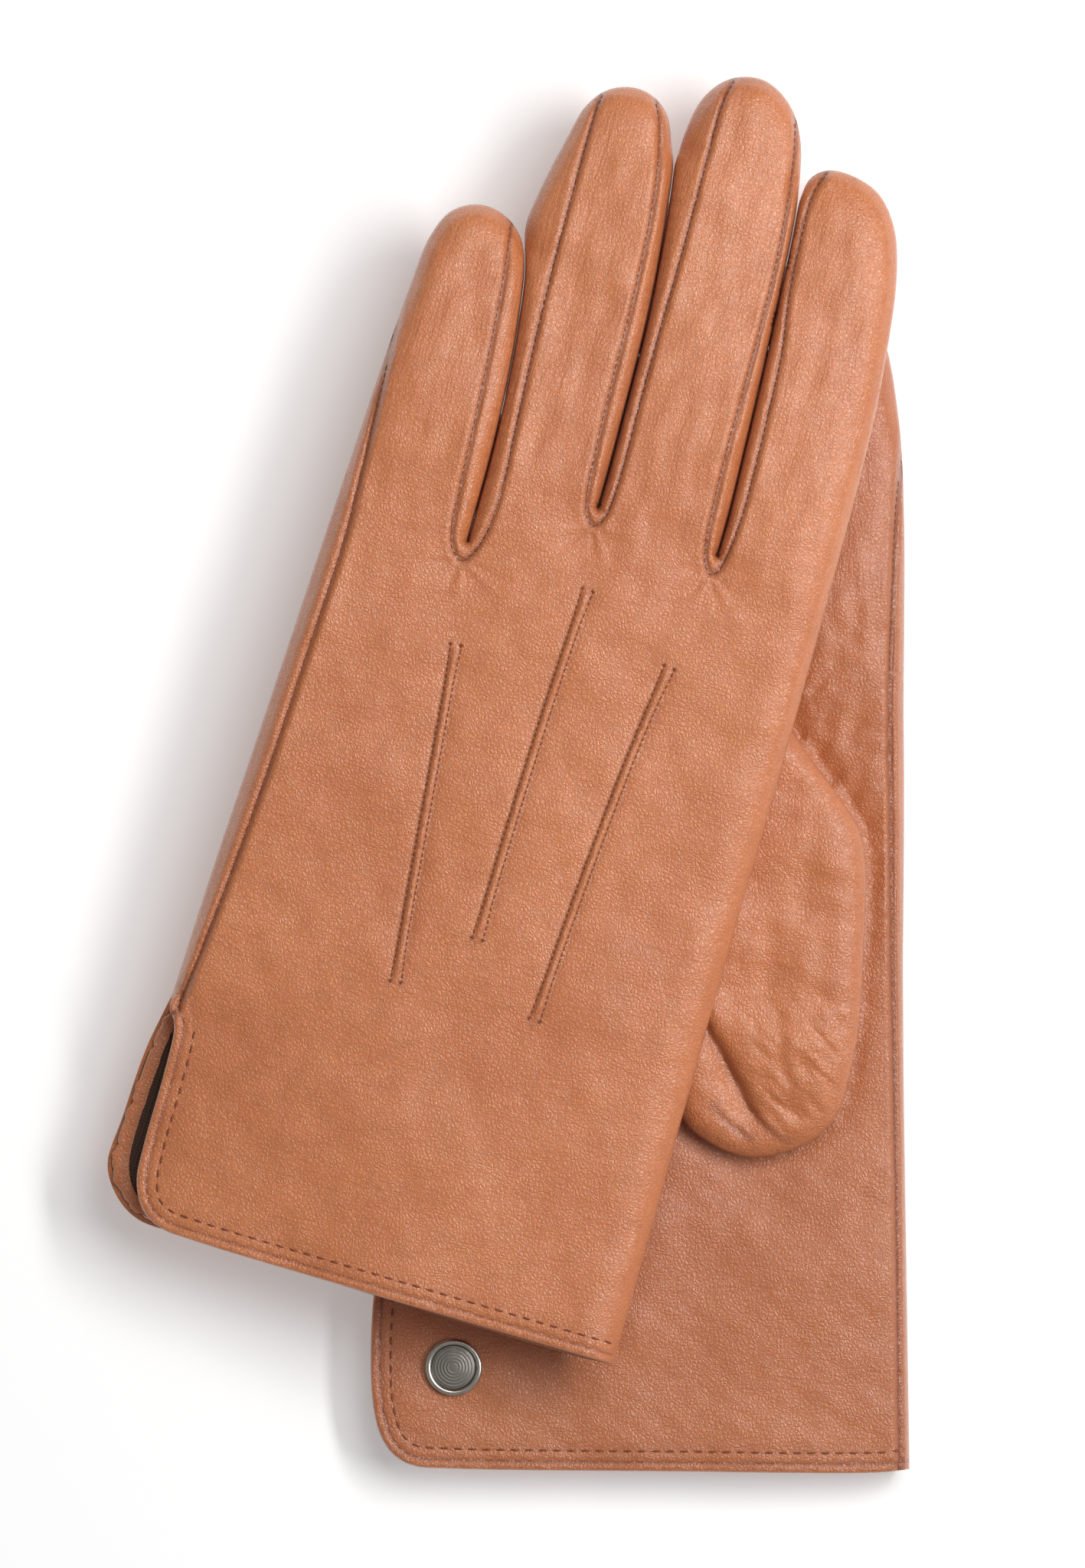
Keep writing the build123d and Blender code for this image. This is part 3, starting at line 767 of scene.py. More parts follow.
class Shader:
    """Short ways to add and join the nodes of one material."""

    def __init__(self, name):
        self.material = bpy.data.materials.new(name)
        self.material.use_nodes = True
        self.tree = self.material.node_tree
        self.bsdf = self.tree.nodes["Principled BSDF"]

    def node(self, kind, **values):
        made = self.tree.nodes.new(kind)
        for key, value in values.items():
            setattr(made, key, value)
        return made

    def join(self, out, into):
        self.tree.links.new(out, into)

    def pattern(self):
        return self.node("ShaderNodeAttribute", attribute_name="pattern").outputs["Vector"]

    def scaled(self, vector, scale):
        made = self.node("ShaderNodeMapping")
        made.inputs["Scale"].default_value = scale
        self.join(vector, made.inputs["Vector"])
        return made.outputs["Vector"]

    def noise(self, vector, scale, detail=3.0, rough=0.55, distort=0.0):
        made = self.node("ShaderNodeTexNoise")
        made.inputs["Scale"].default_value = scale
        made.inputs["Detail"].default_value = detail
        made.inputs["Roughness"].default_value = rough
        made.inputs["Distortion"].default_value = distort
        self.join(vector, made.inputs["Vector"])
        return made.outputs["Fac"]

    def cells(self, vector, scale):
        made = self.node("ShaderNodeTexVoronoi", feature="DISTANCE_TO_EDGE")
        made.inputs["Scale"].default_value = scale
        self.join(vector, made.inputs["Vector"])
        return made.outputs["Distance"]

    def ramp(self, value, low, high, to_low=0.0, to_high=1.0):
        made = self.node("ShaderNodeMapRange")
        for key, number in zip(("From Min", "From Max", "To Min", "To Max"), (low, high, to_low, to_high)):
            made.inputs[key].default_value = number
        self.join(value, made.inputs["Value"])
        return made.outputs["Result"]

    def math(self, operation, first, second):
        made = self.node("ShaderNodeMath", operation=operation)
        for value, into in zip((first, second), made.inputs):
            if isinstance(value, (int, float)):
                into.default_value = value
            else:
                self.join(value, into)
        return made.outputs["Value"]

    def mix(self, factor, first, second):
        made = self.node("ShaderNodeMix", data_type="RGBA")
        if isinstance(factor, (int, float)):
            made.inputs["Factor"].default_value = factor
        else:
            self.join(factor, made.inputs["Factor"])
        for value, name in ((first, "A"), (second, "B")):
            into = [s for s in made.inputs if s.name == name and s.type == "RGBA"][0]
            if isinstance(value, tuple):
                into.default_value = (*value, 1.0)
            else:
                self.join(value, into)
        return [s for s in made.outputs if s.type == "RGBA"][0]

    def bump(self, height, strength, distance, normal=None):
        made = self.node("ShaderNodeBump")
        made.inputs["Strength"].default_value = strength
        made.inputs["Distance"].default_value = distance
        self.join(height, made.inputs["Height"])
        if normal is not None:
            self.join(normal, made.inputs["Normal"])
        return made.outputs["Normal"]


def leather_material(settings):
    s = Shader("tan nappa leather")
    where = s.pattern()
    warp = s.node("ShaderNodeTexNoise")
    warp.inputs["Scale"].default_value = 0.55
    warp.inputs["Detail"].default_value = 2.0
    s.join(where, warp.inputs["Vector"])
    bent = s.node("ShaderNodeVectorMath", operation="MULTIPLY_ADD")
    s.join(warp.outputs["Color"], bent.inputs[0])
    bent.inputs[1].default_value = (0.9, 0.9, 0.9)
    s.join(where, bent.inputs[2])
    grain = s.cells(bent.outputs["Vector"], 1.0 / settings.grain_mm)
    fine = s.cells(bent.outputs["Vector"], 2.3 / settings.grain_mm)
    split = s.node("ShaderNodeSeparateXYZ")
    s.join(where, split.inputs["Vector"])
    on_finger = s.ramp(split.outputs["Y"], 145.0, 175.0)
    long_lines = s.noise(s.scaled(where, (1.25, 0.16, 1.0)), 1.0, 4.0, 0.65, 0.35)
    cross_lines = s.noise(s.scaled(where, (0.22, 0.9, 0.5)), 1.0, 4.0, 0.6, 0.5)
    cloud = s.noise(where, 0.028, 3.0, 0.5)
    mottle = s.noise(where, 0.23, 4.0, 0.6)
    speck = s.noise(where, 1.7, 3.0, 0.7)
    wear = s.node("ShaderNodeAttribute", attribute_name="wear").outputs["Fac"]

    base = tuple(settings.leather_colour)
    deep = tuple(settings.leather_shadow_colour)
    pale = tuple(settings.leather_light_colour)
    colour = s.mix(s.ramp(cloud, 0.34, 0.68), base, pale)
    colour = s.mix(s.math("MULTIPLY", s.ramp(mottle, 0.42, 0.68), 0.2), colour, deep)
    colour = s.mix(s.math("MULTIPLY", s.ramp(speck, 0.5, 0.75), 0.2), colour, deep)
    valleys = s.ramp(grain, 0.0, 0.15, 0.36, 0.0)
    colour = s.mix(valleys, colour, deep)
    # Darkening from the attribute: dark seam lines and painted shade in grooves, creases, between fingers and
    # over the lower glove.
    colour = s.mix(s.math("MULTIPLY", wear, 0.9), colour, tuple(settings.seam_and_shade_colour))
    s.join(colour, s.bsdf.inputs["Base Color"])
    rough = s.math("ADD", s.ramp(mottle, 0.3, 0.7, 0.29, 0.37), s.ramp(grain, 0.0, 0.2, 0.12, 0.0))
    s.join(rough, s.bsdf.inputs["Roughness"])
    s.bsdf.inputs["Specular IOR Level"].default_value = 0.42
    s.bsdf.inputs["Sheen Weight"].default_value = 0.05
    s.bsdf.inputs["Sheen Roughness"].default_value = 0.5

    pebble = s.math("ADD", s.ramp(grain, 0.0, 0.3), s.math("MULTIPLY", s.ramp(fine, 0.0, 0.3), 0.45))
    strong = s.math("SUBTRACT", 1.0, s.math("MULTIPLY", on_finger, 0.45))
    normal = s.bump(s.math("MULTIPLY", pebble, strong), 0.6, 0.00015)
    lines = s.math("MULTIPLY", s.ramp(long_lines, 0.36, 0.62), on_finger)
    normal = s.bump(lines, 0.6, 0.00018, normal)
    calm = s.math("SUBTRACT", 1.0, s.math("MULTIPLY", on_finger, 0.7))
    across = s.math("MULTIPLY", s.ramp(cross_lines, 0.4, 0.6), calm)
    normal = s.bump(across, 0.42, 0.00013, normal)
    normal = s.bump(speck, 0.3, 0.00005, normal)
    s.join(normal, s.bsdf.inputs["Normal"])
    s.bsdf.inputs["Coat Weight"].default_value = settings.finish
    s.bsdf.inputs["Coat Roughness"].default_value = 0.23
    s.join(s.bump(pebble, 0.5, 0.0001), s.bsdf.inputs["Coat Normal"])
    return s.material


def thread_material(settings):
    s = Shader("waxed tan thread")
    where = s.node("ShaderNodeTexCoord").outputs["Object"]
    twist = s.node("ShaderNodeTexWave", bands_direction="DIAGONAL")
    twist.inputs["Scale"].default_value = 900.0
    twist.inputs["Distortion"].default_value = 1.5
    s.join(where, twist.inputs["Vector"])
    fuzz = s.noise(where, 2600.0, 3.0)
    dark = tuple(c * 0.55 for c in settings.thread_colour)
    s.join(s.mix(s.ramp(fuzz, 0.3, 0.7), tuple(settings.thread_colour), dark), s.bsdf.inputs["Base Color"])
    s.bsdf.inputs["Roughness"].default_value = 0.75
    s.bsdf.inputs["Specular IOR Level"].default_value = 0.2
    s.join(s.bump(twist.outputs["Fac"], 0.5, 0.00008), s.bsdf.inputs["Normal"])
    return s.material


def lining_material(settings):
    s = Shader("brown knitted lining")
    where = s.pattern()
    ribs = s.node("ShaderNodeTexWave", bands_direction="X")
    ribs.inputs["Scale"].default_value = 0.42
    ribs.inputs["Distortion"].default_value = 0.6
    s.join(where, ribs.inputs["Vector"])
    loops = s.node("ShaderNodeTexWave", bands_direction="Y")
    loops.inputs["Scale"].default_value = 0.5
    loops.inputs["Distortion"].default_value = 0.9
    s.join(where, loops.inputs["Vector"])
    fuzz = s.noise(where, 3.2, 4.0, 0.7)
    dark = tuple(c * 0.45 for c in settings.lining_colour)
    knit = s.math("MULTIPLY", ribs.outputs["Fac"], loops.outputs["Fac"])
    colour = s.mix(s.ramp(knit, 0.0, 0.7), dark, tuple(settings.lining_colour))
    s.join(s.mix(s.math("MULTIPLY", fuzz, 0.5), colour, dark), s.bsdf.inputs["Base Color"])
    s.bsdf.inputs["Roughness"].default_value = 0.95
    s.bsdf.inputs["Sheen Weight"].default_value = 0.35
    height = s.math("ADD", knit, s.math("MULTIPLY", fuzz, 0.4))
    s.join(s.bump(height, 0.8, 0.0003), s.bsdf.inputs["Normal"])
    return s.material


def metal_material(name, colour, rough, brushed):
    s = Shader(name)
    where = s.node("ShaderNodeTexCoord").outputs["Object"]
    smudge = s.noise(where, 420.0, 4.0, 0.6)
    scratch = s.noise(s.scaled(where, (300.0, 6500.0, 300.0)), 1.0, 3.0, 0.6)
    dark = tuple(c * 0.5 for c in colour)
    s.join(s.mix(s.ramp(smudge, 0.35, 0.7, 0.0, 0.6), tuple(colour), dark), s.bsdf.inputs["Base Color"])
    s.bsdf.inputs["Metallic"].default_value = 1.0
    s.join(s.ramp(smudge, 0.3, 0.7, rough, rough + 0.16), s.bsdf.inputs["Roughness"])
    s.join(s.bump(scratch, brushed, 0.00003), s.bsdf.inputs["Normal"])
    return s.material


MATERIALS = {}
SKINS = {}


def skin(fine):
    if fine not in SKINS:
        SKINS[fine] = Skin(fine)
    return SKINS[fine]


def shaped(fine, glove):
    key = (fine, glove.name)
    if key not in SKINS:
        SKINS[key] = skin(fine).shape(glove)
    return SKINS[key]


def seam_and_shade_darkening(uv, is_palm, glove):
    """How much darker the leather is painted: dark seam lines, partly the seams' own colour and partly
    painted shade in their grooves, and painted shade in the hem and tuck grooves, between the fingers and
    over the lower glove.
    """
    total = np.zeros(len(uv))
    # Dark seam lines round the clefts, partly the seams' own colour and partly painted shade in their
    # grooves.
    for path in CLEFTS:
        gap, _, _ = nearest(uv, path)
        total += 0.85 * bump_at(gap, 0.42) + 0.07 * bump_at(gap, 1.8)
    for side, rows in (("back", ~is_palm), ("palm", is_palm)):
        gap, _, _ = nearest(uv[rows], SIDE_SEAMS[side])
        total[rows] += 0.75 * bump_at(gap, 0.45) + 0.08 * bump_at(gap, 2.2)
        # Painted shade in the hem's two grooves.
        gap, _, _ = nearest(uv[rows], HEMS[side])
        total[rows] += 0.7 * bump_at(gap - 1.75, 0.3) + 0.16 * bump_at(gap - 4.0, 0.5)
    # Painted shade in the valley beside each tuck.
    rows = ~is_palm
    for path in TUCK_PATHS:
        gap, _, _ = nearest(uv[rows], path)
        total[rows] += 0.42 * bump_at(gap - 0.95, 0.4)
    # Painted shade along the finger edges, where the fingers lie against each other.
    for path in EDGE_PARTS[1:3]:
        gap, _, _ = nearest(uv, path)
        slit = ease((uv[:, 1] - 140.0) / 6.0) * ease((232.0 - uv[:, 1]) / 12.0)
        total += slit * 0.3 * bump_at(gap, 0.7)
    # Painted shade over the whole lower glove.
    if not glove.back_up:
        total += LOWER_GLOVE_PAINTED_SHADE
    return np.clip(total, 0.0, 1.0)


# ---------------------------------------------------------------------------
# Operators, one for each group of pieces


def leather_depth(settings, hem):
    """Leather is doubled where the hem is turned in."""
    return settings.leather_mm + 0.5 * np.exp(-hem / 1.4)


def make_leather(settings, hand_pieces):
    mesh_skin = skin(True)
    for glove in GLOVES:
        points, tris, normals, rest = shaped(True, glove)
        # Dark seam lines and painted shade for this glove.
        key = ("wear", glove.name)
        if key not in SKINS:
            SKINS[key] = seam_and_shade_darkening(mesh_skin.uv, mesh_skin.is_palm, glove)
        wear = SKINS[key]
        thick = leather_depth(settings, mesh_skin.hem)
        plain = mesh_skin.strip == ""

        def piece(name, rows):
            return shell(name, points, normals, tris[rows], rest, 0.0, thick, MATERIALS["leather"], wear)

        if hand_pieces:
            for cover in ("back", "palm"):
                node = f"{glove.name}_{cover}_panel"
                rows = plain & (mesh_skin.finger == "hand") & (mesh_skin.cover == cover)
                made = piece(node + "_leather", rows)
                attach(made, f"{glove.name}_hand", [node])
            continue
        for finger in FINGER_NAMES:
            for cover in ("back", "palm"):
                node = f"{glove.name}_{finger}_{cover}"
                rows = plain & (mesh_skin.finger == finger) & (mesh_skin.cover == cover)
                attach_finger(piece(node + "_leather", rows), [node])
            for side in ("index_side", "little_side"):
                rows = mesh_skin.strip == f"{finger} {side}"
                if rows.any():
                    node = f"{glove.name}_{finger}_fourchette_{side}"
                    attach_finger(piece(node + "_leather", rows), [node])


class GLOVES_OT_hands(bpy.types.Operator):
    """Make the back and palm leather of both hands"""

    bl_idname = "gloves.hands"
    bl_label = "Hand leather"

    def execute(self, context):
        make_leather(context.scene.glove_settings, True)
        return {"FINISHED"}


class GLOVES_OT_fingers(bpy.types.Operator):
    """Make each finger's back, palm and side strips"""

    bl_idname = "gloves.fingers"
    bl_label = "Finger leather"

    def execute(self, context):
        make_leather(context.scene.glove_settings, False)
        return {"FINISHED"}


class GLOVES_OT_linings(bpy.types.Operator):
    """Make the knitted linings and the turned-in hems"""

    bl_idname = "gloves.linings"
    bl_label = "Linings and hems"

    def execute(self, context):
        settings = context.scene.glove_settings
        mesh_skin = skin(False)
        low = mesh_skin.faced
        for glove in GLOVES:
            points, tris, normals, rest = shaped(False, glove)
            slack = 1.1 * ease(mesh_skin.hem / 12.0)
            outer = leather_depth(settings, mesh_skin.hem) + 0.08 + slack
            inner = outer + settings.lining_mm
            folded = outer + 0.08 + 0.75 * rounded(mesh_skin.hem / 1.4, 2.0)

            def piece(name, rows, material, near, far):
                return shell(name, points, normals, tris[rows], rest, near, far, MATERIALS[material])

            hand = mesh_skin.finger == "hand"
            node = f"{glove.name}_hand_lining"
            made = piece(node + "_knit", hand & ~low, "lining", outer, inner)
            attach(made, f"{glove.name}_hand", [node])
            node = f"{glove.name}_cuff_facing"
            made = piece(node + "_leather", hand & low, "leather", outer, folded)
            attach(made, f"{glove.name}_hand", [node])
            for finger in FINGER_NAMES:
                node = f"{glove.name}_{finger}_lining"
                made = piece(node + "_knit", mesh_skin.finger == finger, "lining", outer, inner)
                attach_finger(made, [node])
        return {"FINISHED"}


def thumb_shape(glove, flat, tris, loop, inset=0.0):
    """Both faces of a thumb as one closed skin, with the outer face first."""
    outer = thumb_relief(flat, True, glove, loop, inset)
    under = thumb_relief(flat, False, glove, loop, inset)
    rim = nearest(flat, np.vstack([loop, loop[:1]]))[0] < 1e-4
    index = np.where(rim, np.arange(len(flat)), np.arange(len(flat)) + len(flat))
    uv = np.vstack([flat, flat])
    # The foot of the thumb sinks to the palm.
    foot = 1.0 - ease((flat[:, 1] - 61.0) / 26.0)
    sink = foot * (glove.thumb_middle - glove.thumb_low + 0.2)
    sign = -1.0 if glove.back_up else 1.0
    spot = glove.thumb_uv(flat)
    flat_height = glove.thumb_middle - sign * sink * 0.75
    limit = glove.thumb_middle - sign * ((glove.thumb_high - glove.thumb_low) / 2 + 0.3 - inset)
    top = flat_height + sign * outer
    low = flat_height - sign * under
    low = np.where(sign > 0, np.maximum(low, limit), np.minimum(low, limit))

    def placed(height):
        world = glove.place(spot, height)
        world[:, 2] += glove.sag(spot) * MM * 0.4
        return world

    points = np.vstack([placed(top), placed(low)])
    below = index[tris][:, ::-1]
    faces = np.vstack([tris, below])
    if sign < 0:
        faces = faces[:, ::-1]
    rest = np.column_stack([uv, np.concatenate([top, low])])
    return points, faces, normals_of(points, faces), rest, len(tris)


class GLOVES_OT_thumbs(bpy.types.Operator):
    """Make the folded thumbs"""

    bl_idname = "gloves.thumbs"
    bl_label = "Thumbs"

    def execute(self, context):
        settings = context.scene.glove_settings
        rows = [(path, (-2.6, -1.7, -1.0, -0.5, 0.0, 0.5, 1.0, 1.7, 2.6)) for path in CREASE_PATHS]
        fine = fill(THUMB_LOOP, [], rows, 0.9, (0.13, 0.45, 1.0, 1.8, 2.8))
        shut = np.vstack([THUMB_LOOP, THUMB_LOOP[:1]])
        lining_loop = side_steps(shut, LINING_INSET)[:-1]
        lining_loop = lining_loop[nearest(lining_loop, shut)[0] > LINING_INSET * 0.95]
        rough = fill(lining_loop, [], [], 3.0, (0.4, 1.6))
        for glove in GLOVES:
            points, faces, normals, rest, split = thumb_shape(glove, *fine, THUMB_LOOP)
            # Painted shade: the lower thumb a little darker all over, and darker in its two main creases.
            creases = np.full(len(points), 0.0 if glove.back_up else 0.08)
            for path in CREASE_PATHS[:2]:
                gap, _, _ = nearest(rest[:, :2], path)
                creases += 0.55 * bump_at(gap, 1.0)
            for part, chosen in (("outer", faces[:split]), ("under", faces[split:])):
                node = f"{glove.name}_thumb_{part}"
                made = shell(
                    node + "_leather",
                    points,
                    normals,
                    chosen,
                    rest,
                    0.0,
                    settings.leather_mm,
                    MATERIALS["leather"],
                    creases,
                )
                attach(made, f"{glove.name}_thumb", [node])
            points, faces, normals, rest, _ = thumb_shape(glove, *rough, lining_loop, LINING_INSET)
            node = f"{glove.name}_thumb_lining"
            made = shell(
                node + "_knit", points, normals, faces, rest, 0.0, settings.lining_mm, MATERIALS["lining"]
            )
            attach(made, f"{glove.name}_thumb", [node])
        return {"FINISHED"}


# ---------------------------------------------------------------------------
# Stitches


def stitch_tree():
    """Geometry Nodes: one thread stitch at each even step along every curve."""
    tree = bpy.data.node_groups.new("Stitches", "GeometryNodeTree")
    face = tree.interface
    face.new_socket("Geometry", in_out="INPUT", socket_type="NodeSocketGeometry")
    for name in ("Pitch", "Length", "Thickness"):
        face.new_socket(name, in_out="INPUT", socket_type="NodeSocketFloat")
    face.new_socket("Material", in_out="INPUT", socket_type="NodeSocketMaterial")
    face.new_socket("Geometry", in_out="OUTPUT", socket_type="NodeSocketGeometry")
    add = tree.nodes.new
    join = tree.links.new
    start = add("NodeGroupInput")
    end = add("NodeGroupOutput")
    steps = add("GeometryNodeResampleCurve")
    steps.mode = "LENGTH"
    join(start.outputs["Geometry"], steps.inputs["Curve"])
    join(start.outputs["Pitch"], steps.inputs["Length"])
    dots = add("GeometryNodeCurveToPoints")
    dots.mode = "EVALUATED"
    join(steps.outputs["Curve"], dots.inputs["Curve"])
    ball = add("GeometryNodeMeshUVSphere")
    ball.inputs["Segments"].default_value = 6
    ball.inputs["Rings"].default_value = 5
    ball.inputs["Radius"].default_value = 0.5
    size = add("ShaderNodeCombineXYZ")
    join(start.outputs["Thickness"], size.inputs["X"])
    join(start.outputs["Thickness"], size.inputs["Y"])
    join(start.outputs["Length"], size.inputs["Z"])
    put = add("GeometryNodeInstanceOnPoints")
    join(dots.outputs["Points"], put.inputs["Points"])
    join(ball.outputs["Mesh"], put.inputs["Instance"])
    join(dots.outputs["Rotation"], put.inputs["Rotation"])
    join(size.outputs["Vector"], put.inputs["Scale"])
    real = add("GeometryNodeRealizeInstances")
    join(put.outputs["Instances"], real.inputs["Geometry"])
    paint = add("GeometryNodeSetMaterial")
    join(real.outputs["Geometry"], paint.inputs["Geometry"])
    join(start.outputs["Material"], paint.inputs["Material"])
    join(paint.outputs["Geometry"], end.inputs["Geometry"])
    return tree


def stitched(name, runs, pitch, length, thick):
    """A mesh of stitches along runs of world points."""
    curve = bpy.data.curves.new(name, "CURVE")
    curve.dimensions = "3D"
    for run in runs:
        spline = curve.splines.new("POLY")
        spline.points.add(len(run) - 1)
        spline.points.foreach_set("co", np.column_stack([run, np.ones(len(run))]).ravel())
    obj = new_object(name + "_path", curve)
    modifier = obj.modifiers.new("Stitches", "NODES")
    modifier.node_group = MATERIALS["stitch tree"]
    items = modifier.node_group.interface.items_tree
    sockets = {item.name: item.identifier for item in items if item.in_out == "INPUT"}
    modifier[sockets["Pitch"]] = pitch * MM
    modifier[sockets["Length"]] = length * MM
    modifier[sockets["Thickness"]] = thick * MM
    modifier[sockets["Material"]] = MATERIALS["thread"]
    graph = bpy.context.evaluated_depsgraph_get()
    mesh = bpy.data.meshes.new_from_object(obj.evaluated_get(graph), depsgraph=graph)
    mesh.name = name
    bpy.data.objects.remove(obj)
    mesh.polygons.foreach_set("use_smooth", np.ones(len(mesh.polygons), bool))
    return new_object(name, mesh)


def run_on_skin(path, side, glove, raise_by=0.08):
    """World points of a stitch line laid on one side of a glove."""
    height = relief(path, side, glove) + raise_by
    up = (side == "palm") != glove.back_up
    return glove.place(path, glove.middle + (height if up else -height))


def finger_seam_paths():
    """Each finger's own seams, with the path moved just onto the finger's leather."""
    out = {name: [] for name in FINGER_NAMES}
    roots = []
    for i, path in enumerate(CLEFTS):
        leather = side_steps(path, 0.22)
        foot = int(np.argmin(path[:, 1]))
        branches = (leather[: foot + 1], leather[foot:])
        for finger, branch in zip(FINGER_NAMES[i : i + 2], branches):
            high = branch[branch[:, 1] > KNUCKLES[finger]]
            keep = inside(high, np.vstack([EDGE, HEMS["back"][1:-1]]))
            edge, _, _ = nearest(high, EDGE)
            out[finger].append(high[keep & (edge > 0.5)])
        level = min(KNUCKLES[name] for name in FINGER_NAMES[i : i + 2])
        roots.append(leather[path[:, 1] <= level + 3.0])
    return out, roots


class GLOVES_OT_stitching(bpy.types.Operator):
    """Sew the seams, tucks and hems"""

    bl_idname = "gloves.stitching"
    bl_label = "Stitching"

    def execute(self, context):
        settings = context.scene.glove_settings
        thick = settings.thread_mm
        seams, roots = finger_seam_paths()
        for glove in GLOVES:
            hand = f"{glove.name}_hand"
            for side in ("back", "palm"):
                hem = side_steps(HEMS[side], 3.95)
                edge, _, _ = nearest(hem, EDGE)
                closed = np.vstack([EDGE, HEMS[side][1:-1]])
                hem = hem[inside(hem, closed) & (edge > 2.0) & (hem[:, 1] < 40.0)]
                made = stitched(
                    f"{glove.name}_{side}_hem_stitches",
                    [run_on_skin(hem, side, glove)],
                    HEM_PITCH,
                    1.7,
                    thick * 1.12,
                )
                attach(made, hand, [])
                seam = side_steps(SIDE_SEAMS[side], 0.0 if side == "back" else 0.25)
                edge, _, _ = nearest(seam, EDGE)
                seam = seam[inside(seam, closed) & (edge > 0.9)]
                below = seam[seam[:, 1] < (KNUCKLES["little"] if side == "back" else KNUCKLES["index"])]
                sunk = 0.08 if side == "back" else -0.12
                runs = [run_on_skin(evenly(below, 0.7), side, glove, sunk)]
                for root in roots:
                    runs.append(run_on_skin(evenly(root, 0.4), side, glove))
                made = stitched(f"{glove.name}_{side}_seam_stitches", runs, SEAM_PITCH, 1.15, thick * 0.7)
                attach(made, hand, [])
                for finger in FINGER_NAMES:
                    paths = [path for path in seams[finger] if len(path) > 3]
                    runs = [run_on_skin(evenly(path, 0.7), side, glove) for path in paths]
                    level = KNUCKLES[finger]
                    above = seam[seam[:, 1] >= level]
                    if finger == ("little" if side == "back" else "index") and len(above) > 3:
                        runs.append(run_on_skin(evenly(above, 0.7), side, glove))
                    made = stitched(
                        f"{glove.name}_{finger}_{side}_stitches", runs, SEAM_PITCH, 1.15, thick * 0.7
                    )
                    attach_finger(made, [])
            runs = []
            for path in TUCK_PATHS:
                for way in (-1.0, 1.0):
                    at = np.linspace(0.0, 1.0, len(path))
                    flare = way * (0.76 + 0.3 * (ease(1 - at * 9) + ease((at - 0.89) * 9)))
                    row = np.column_stack([side_steps(path, 1.0)[:, i] - path[:, i] for i in (0, 1)])
                    runs.append(run_on_skin(path + row * flare[:, None], "back", glove))
                for end in (0, -1):
                    across = evenly([side_steps(path, -1.1)[end], side_steps(path, 1.1)[end]], 0.4)
                    runs.append(run_on_skin(across, "back", glove))
            made = stitched(f"{glove.name}_tuck_stitches", runs, TUCK_PITCH, 0.95, thick * 0.92)
            attach(made, hand, [])
        return {"FINISHED"}


# ---------------------------------------------------------------------------
# Badge


def turned(name, profile, centre, material, segments=72):
    """A shape turned about the vertical through centre; profile is (radius, height) in mm."""
    verts, faces = [], []
    count = len(profile)
    for i in range(segments):
        angle = math.tau * i / segments
        for radius, height in profile:
            verts.append(
                (
                    centre[0] + radius * MM * math.cos(angle),
                    centre[1] + radius * MM * math.sin(angle),
                    height * MM,
                )
            )
    for i in range(segments):
        a, b = i * count, ((i + 1) % segments) * count
        for j in range(count):
            k = (j + 1) % count
            faces.append((a + j, b + j, b + k, a + k))
    mesh = bpy.data.meshes.new(name)
    mesh.from_pydata(verts, [], faces)
    closing = bmesh.new()
    closing.from_mesh(mesh)
    bmesh.ops.remove_doubles(closing, verts=closing.verts, dist=1e-7)
    bmesh.ops.recalc_face_normals(closing, faces=closing.faces)
    closing.to_mesh(mesh)
    closing.free()
    mesh.polygons.foreach_set("use_smooth", np.ones(len(mesh.polygons), bool))
    mesh.materials.append(material)
    mesh.update()
    return new_object(name, mesh)


class GLOVES_OT_badge(bpy.types.Operator):
    """Make the round metal badge"""

    bl_idname = "gloves.badge"
    bl_label = "Badge"

    def execute(self, context):
        low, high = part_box("right_badge_rim")
        centre = ((low[0] + high[0]) / 2, (low[1] + high[1]) / 2)
        outer = (high[0] - low[0]) / 2 / MM
        base, top = low[2] / MM, high[2] / MM
        band = 1.2
        arc = [math.radians(a) for a in range(0, 181, 15)]
        half = band / 2
        high_half = half * 0.8
        rim = [(outer - half + half * math.cos(a), top - high_half + high_half * math.sin(a)) for a in arc]
        rim = [(outer, base - 0.35)] + rim + [(outer - band, base - 0.35)]
        made = turned("right_badge_rim_ring", rim, centre, MATERIALS["rim"])
        attach(made, "right_hand", ["right_badge_rim"])
        bore = outer - band - 0.05
        dish = [(bore, base - 0.3), (bore, base + 0.42)]
        for i in range(1, 22):
            r = bore * (1.0 - i / 22.0)
            dome = 0.42 + 0.36 * (1.0 - (r / bore) ** 2)
            groove = 0.05 * math.cos(r * math.tau / 0.62) if 0.9 < r < bore - 0.3 else 0.0
            dish.append((r, base + dome + groove))
        dish += [(0.0, base + 0.78), (0.0, base - 0.3)]
        made = turned("right_badge_plate_disc", dish, centre, MATERIALS["plate"])
        attach(made, "right_hand", ["right_badge_plate"])
        low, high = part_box("right_badge_backing")
        radius = (high[0] - low[0]) / 2 / MM
        washer = [
            (radius, low[2] / MM + 0.12),
            (radius - 0.12, low[2] / MM),
            (1.1, low[2] / MM),
            (1.1, high[2] / MM),
            (radius, high[2] / MM),
        ]
        made = turned("right_badge_backing_washer", washer[::-1], centre, MATERIALS["plate"])
        attach(made, "right_hand", ["right_badge_backing"])
        return {"FINISHED"}


# ---------------------------------------------------------------------------
# Materials and stage


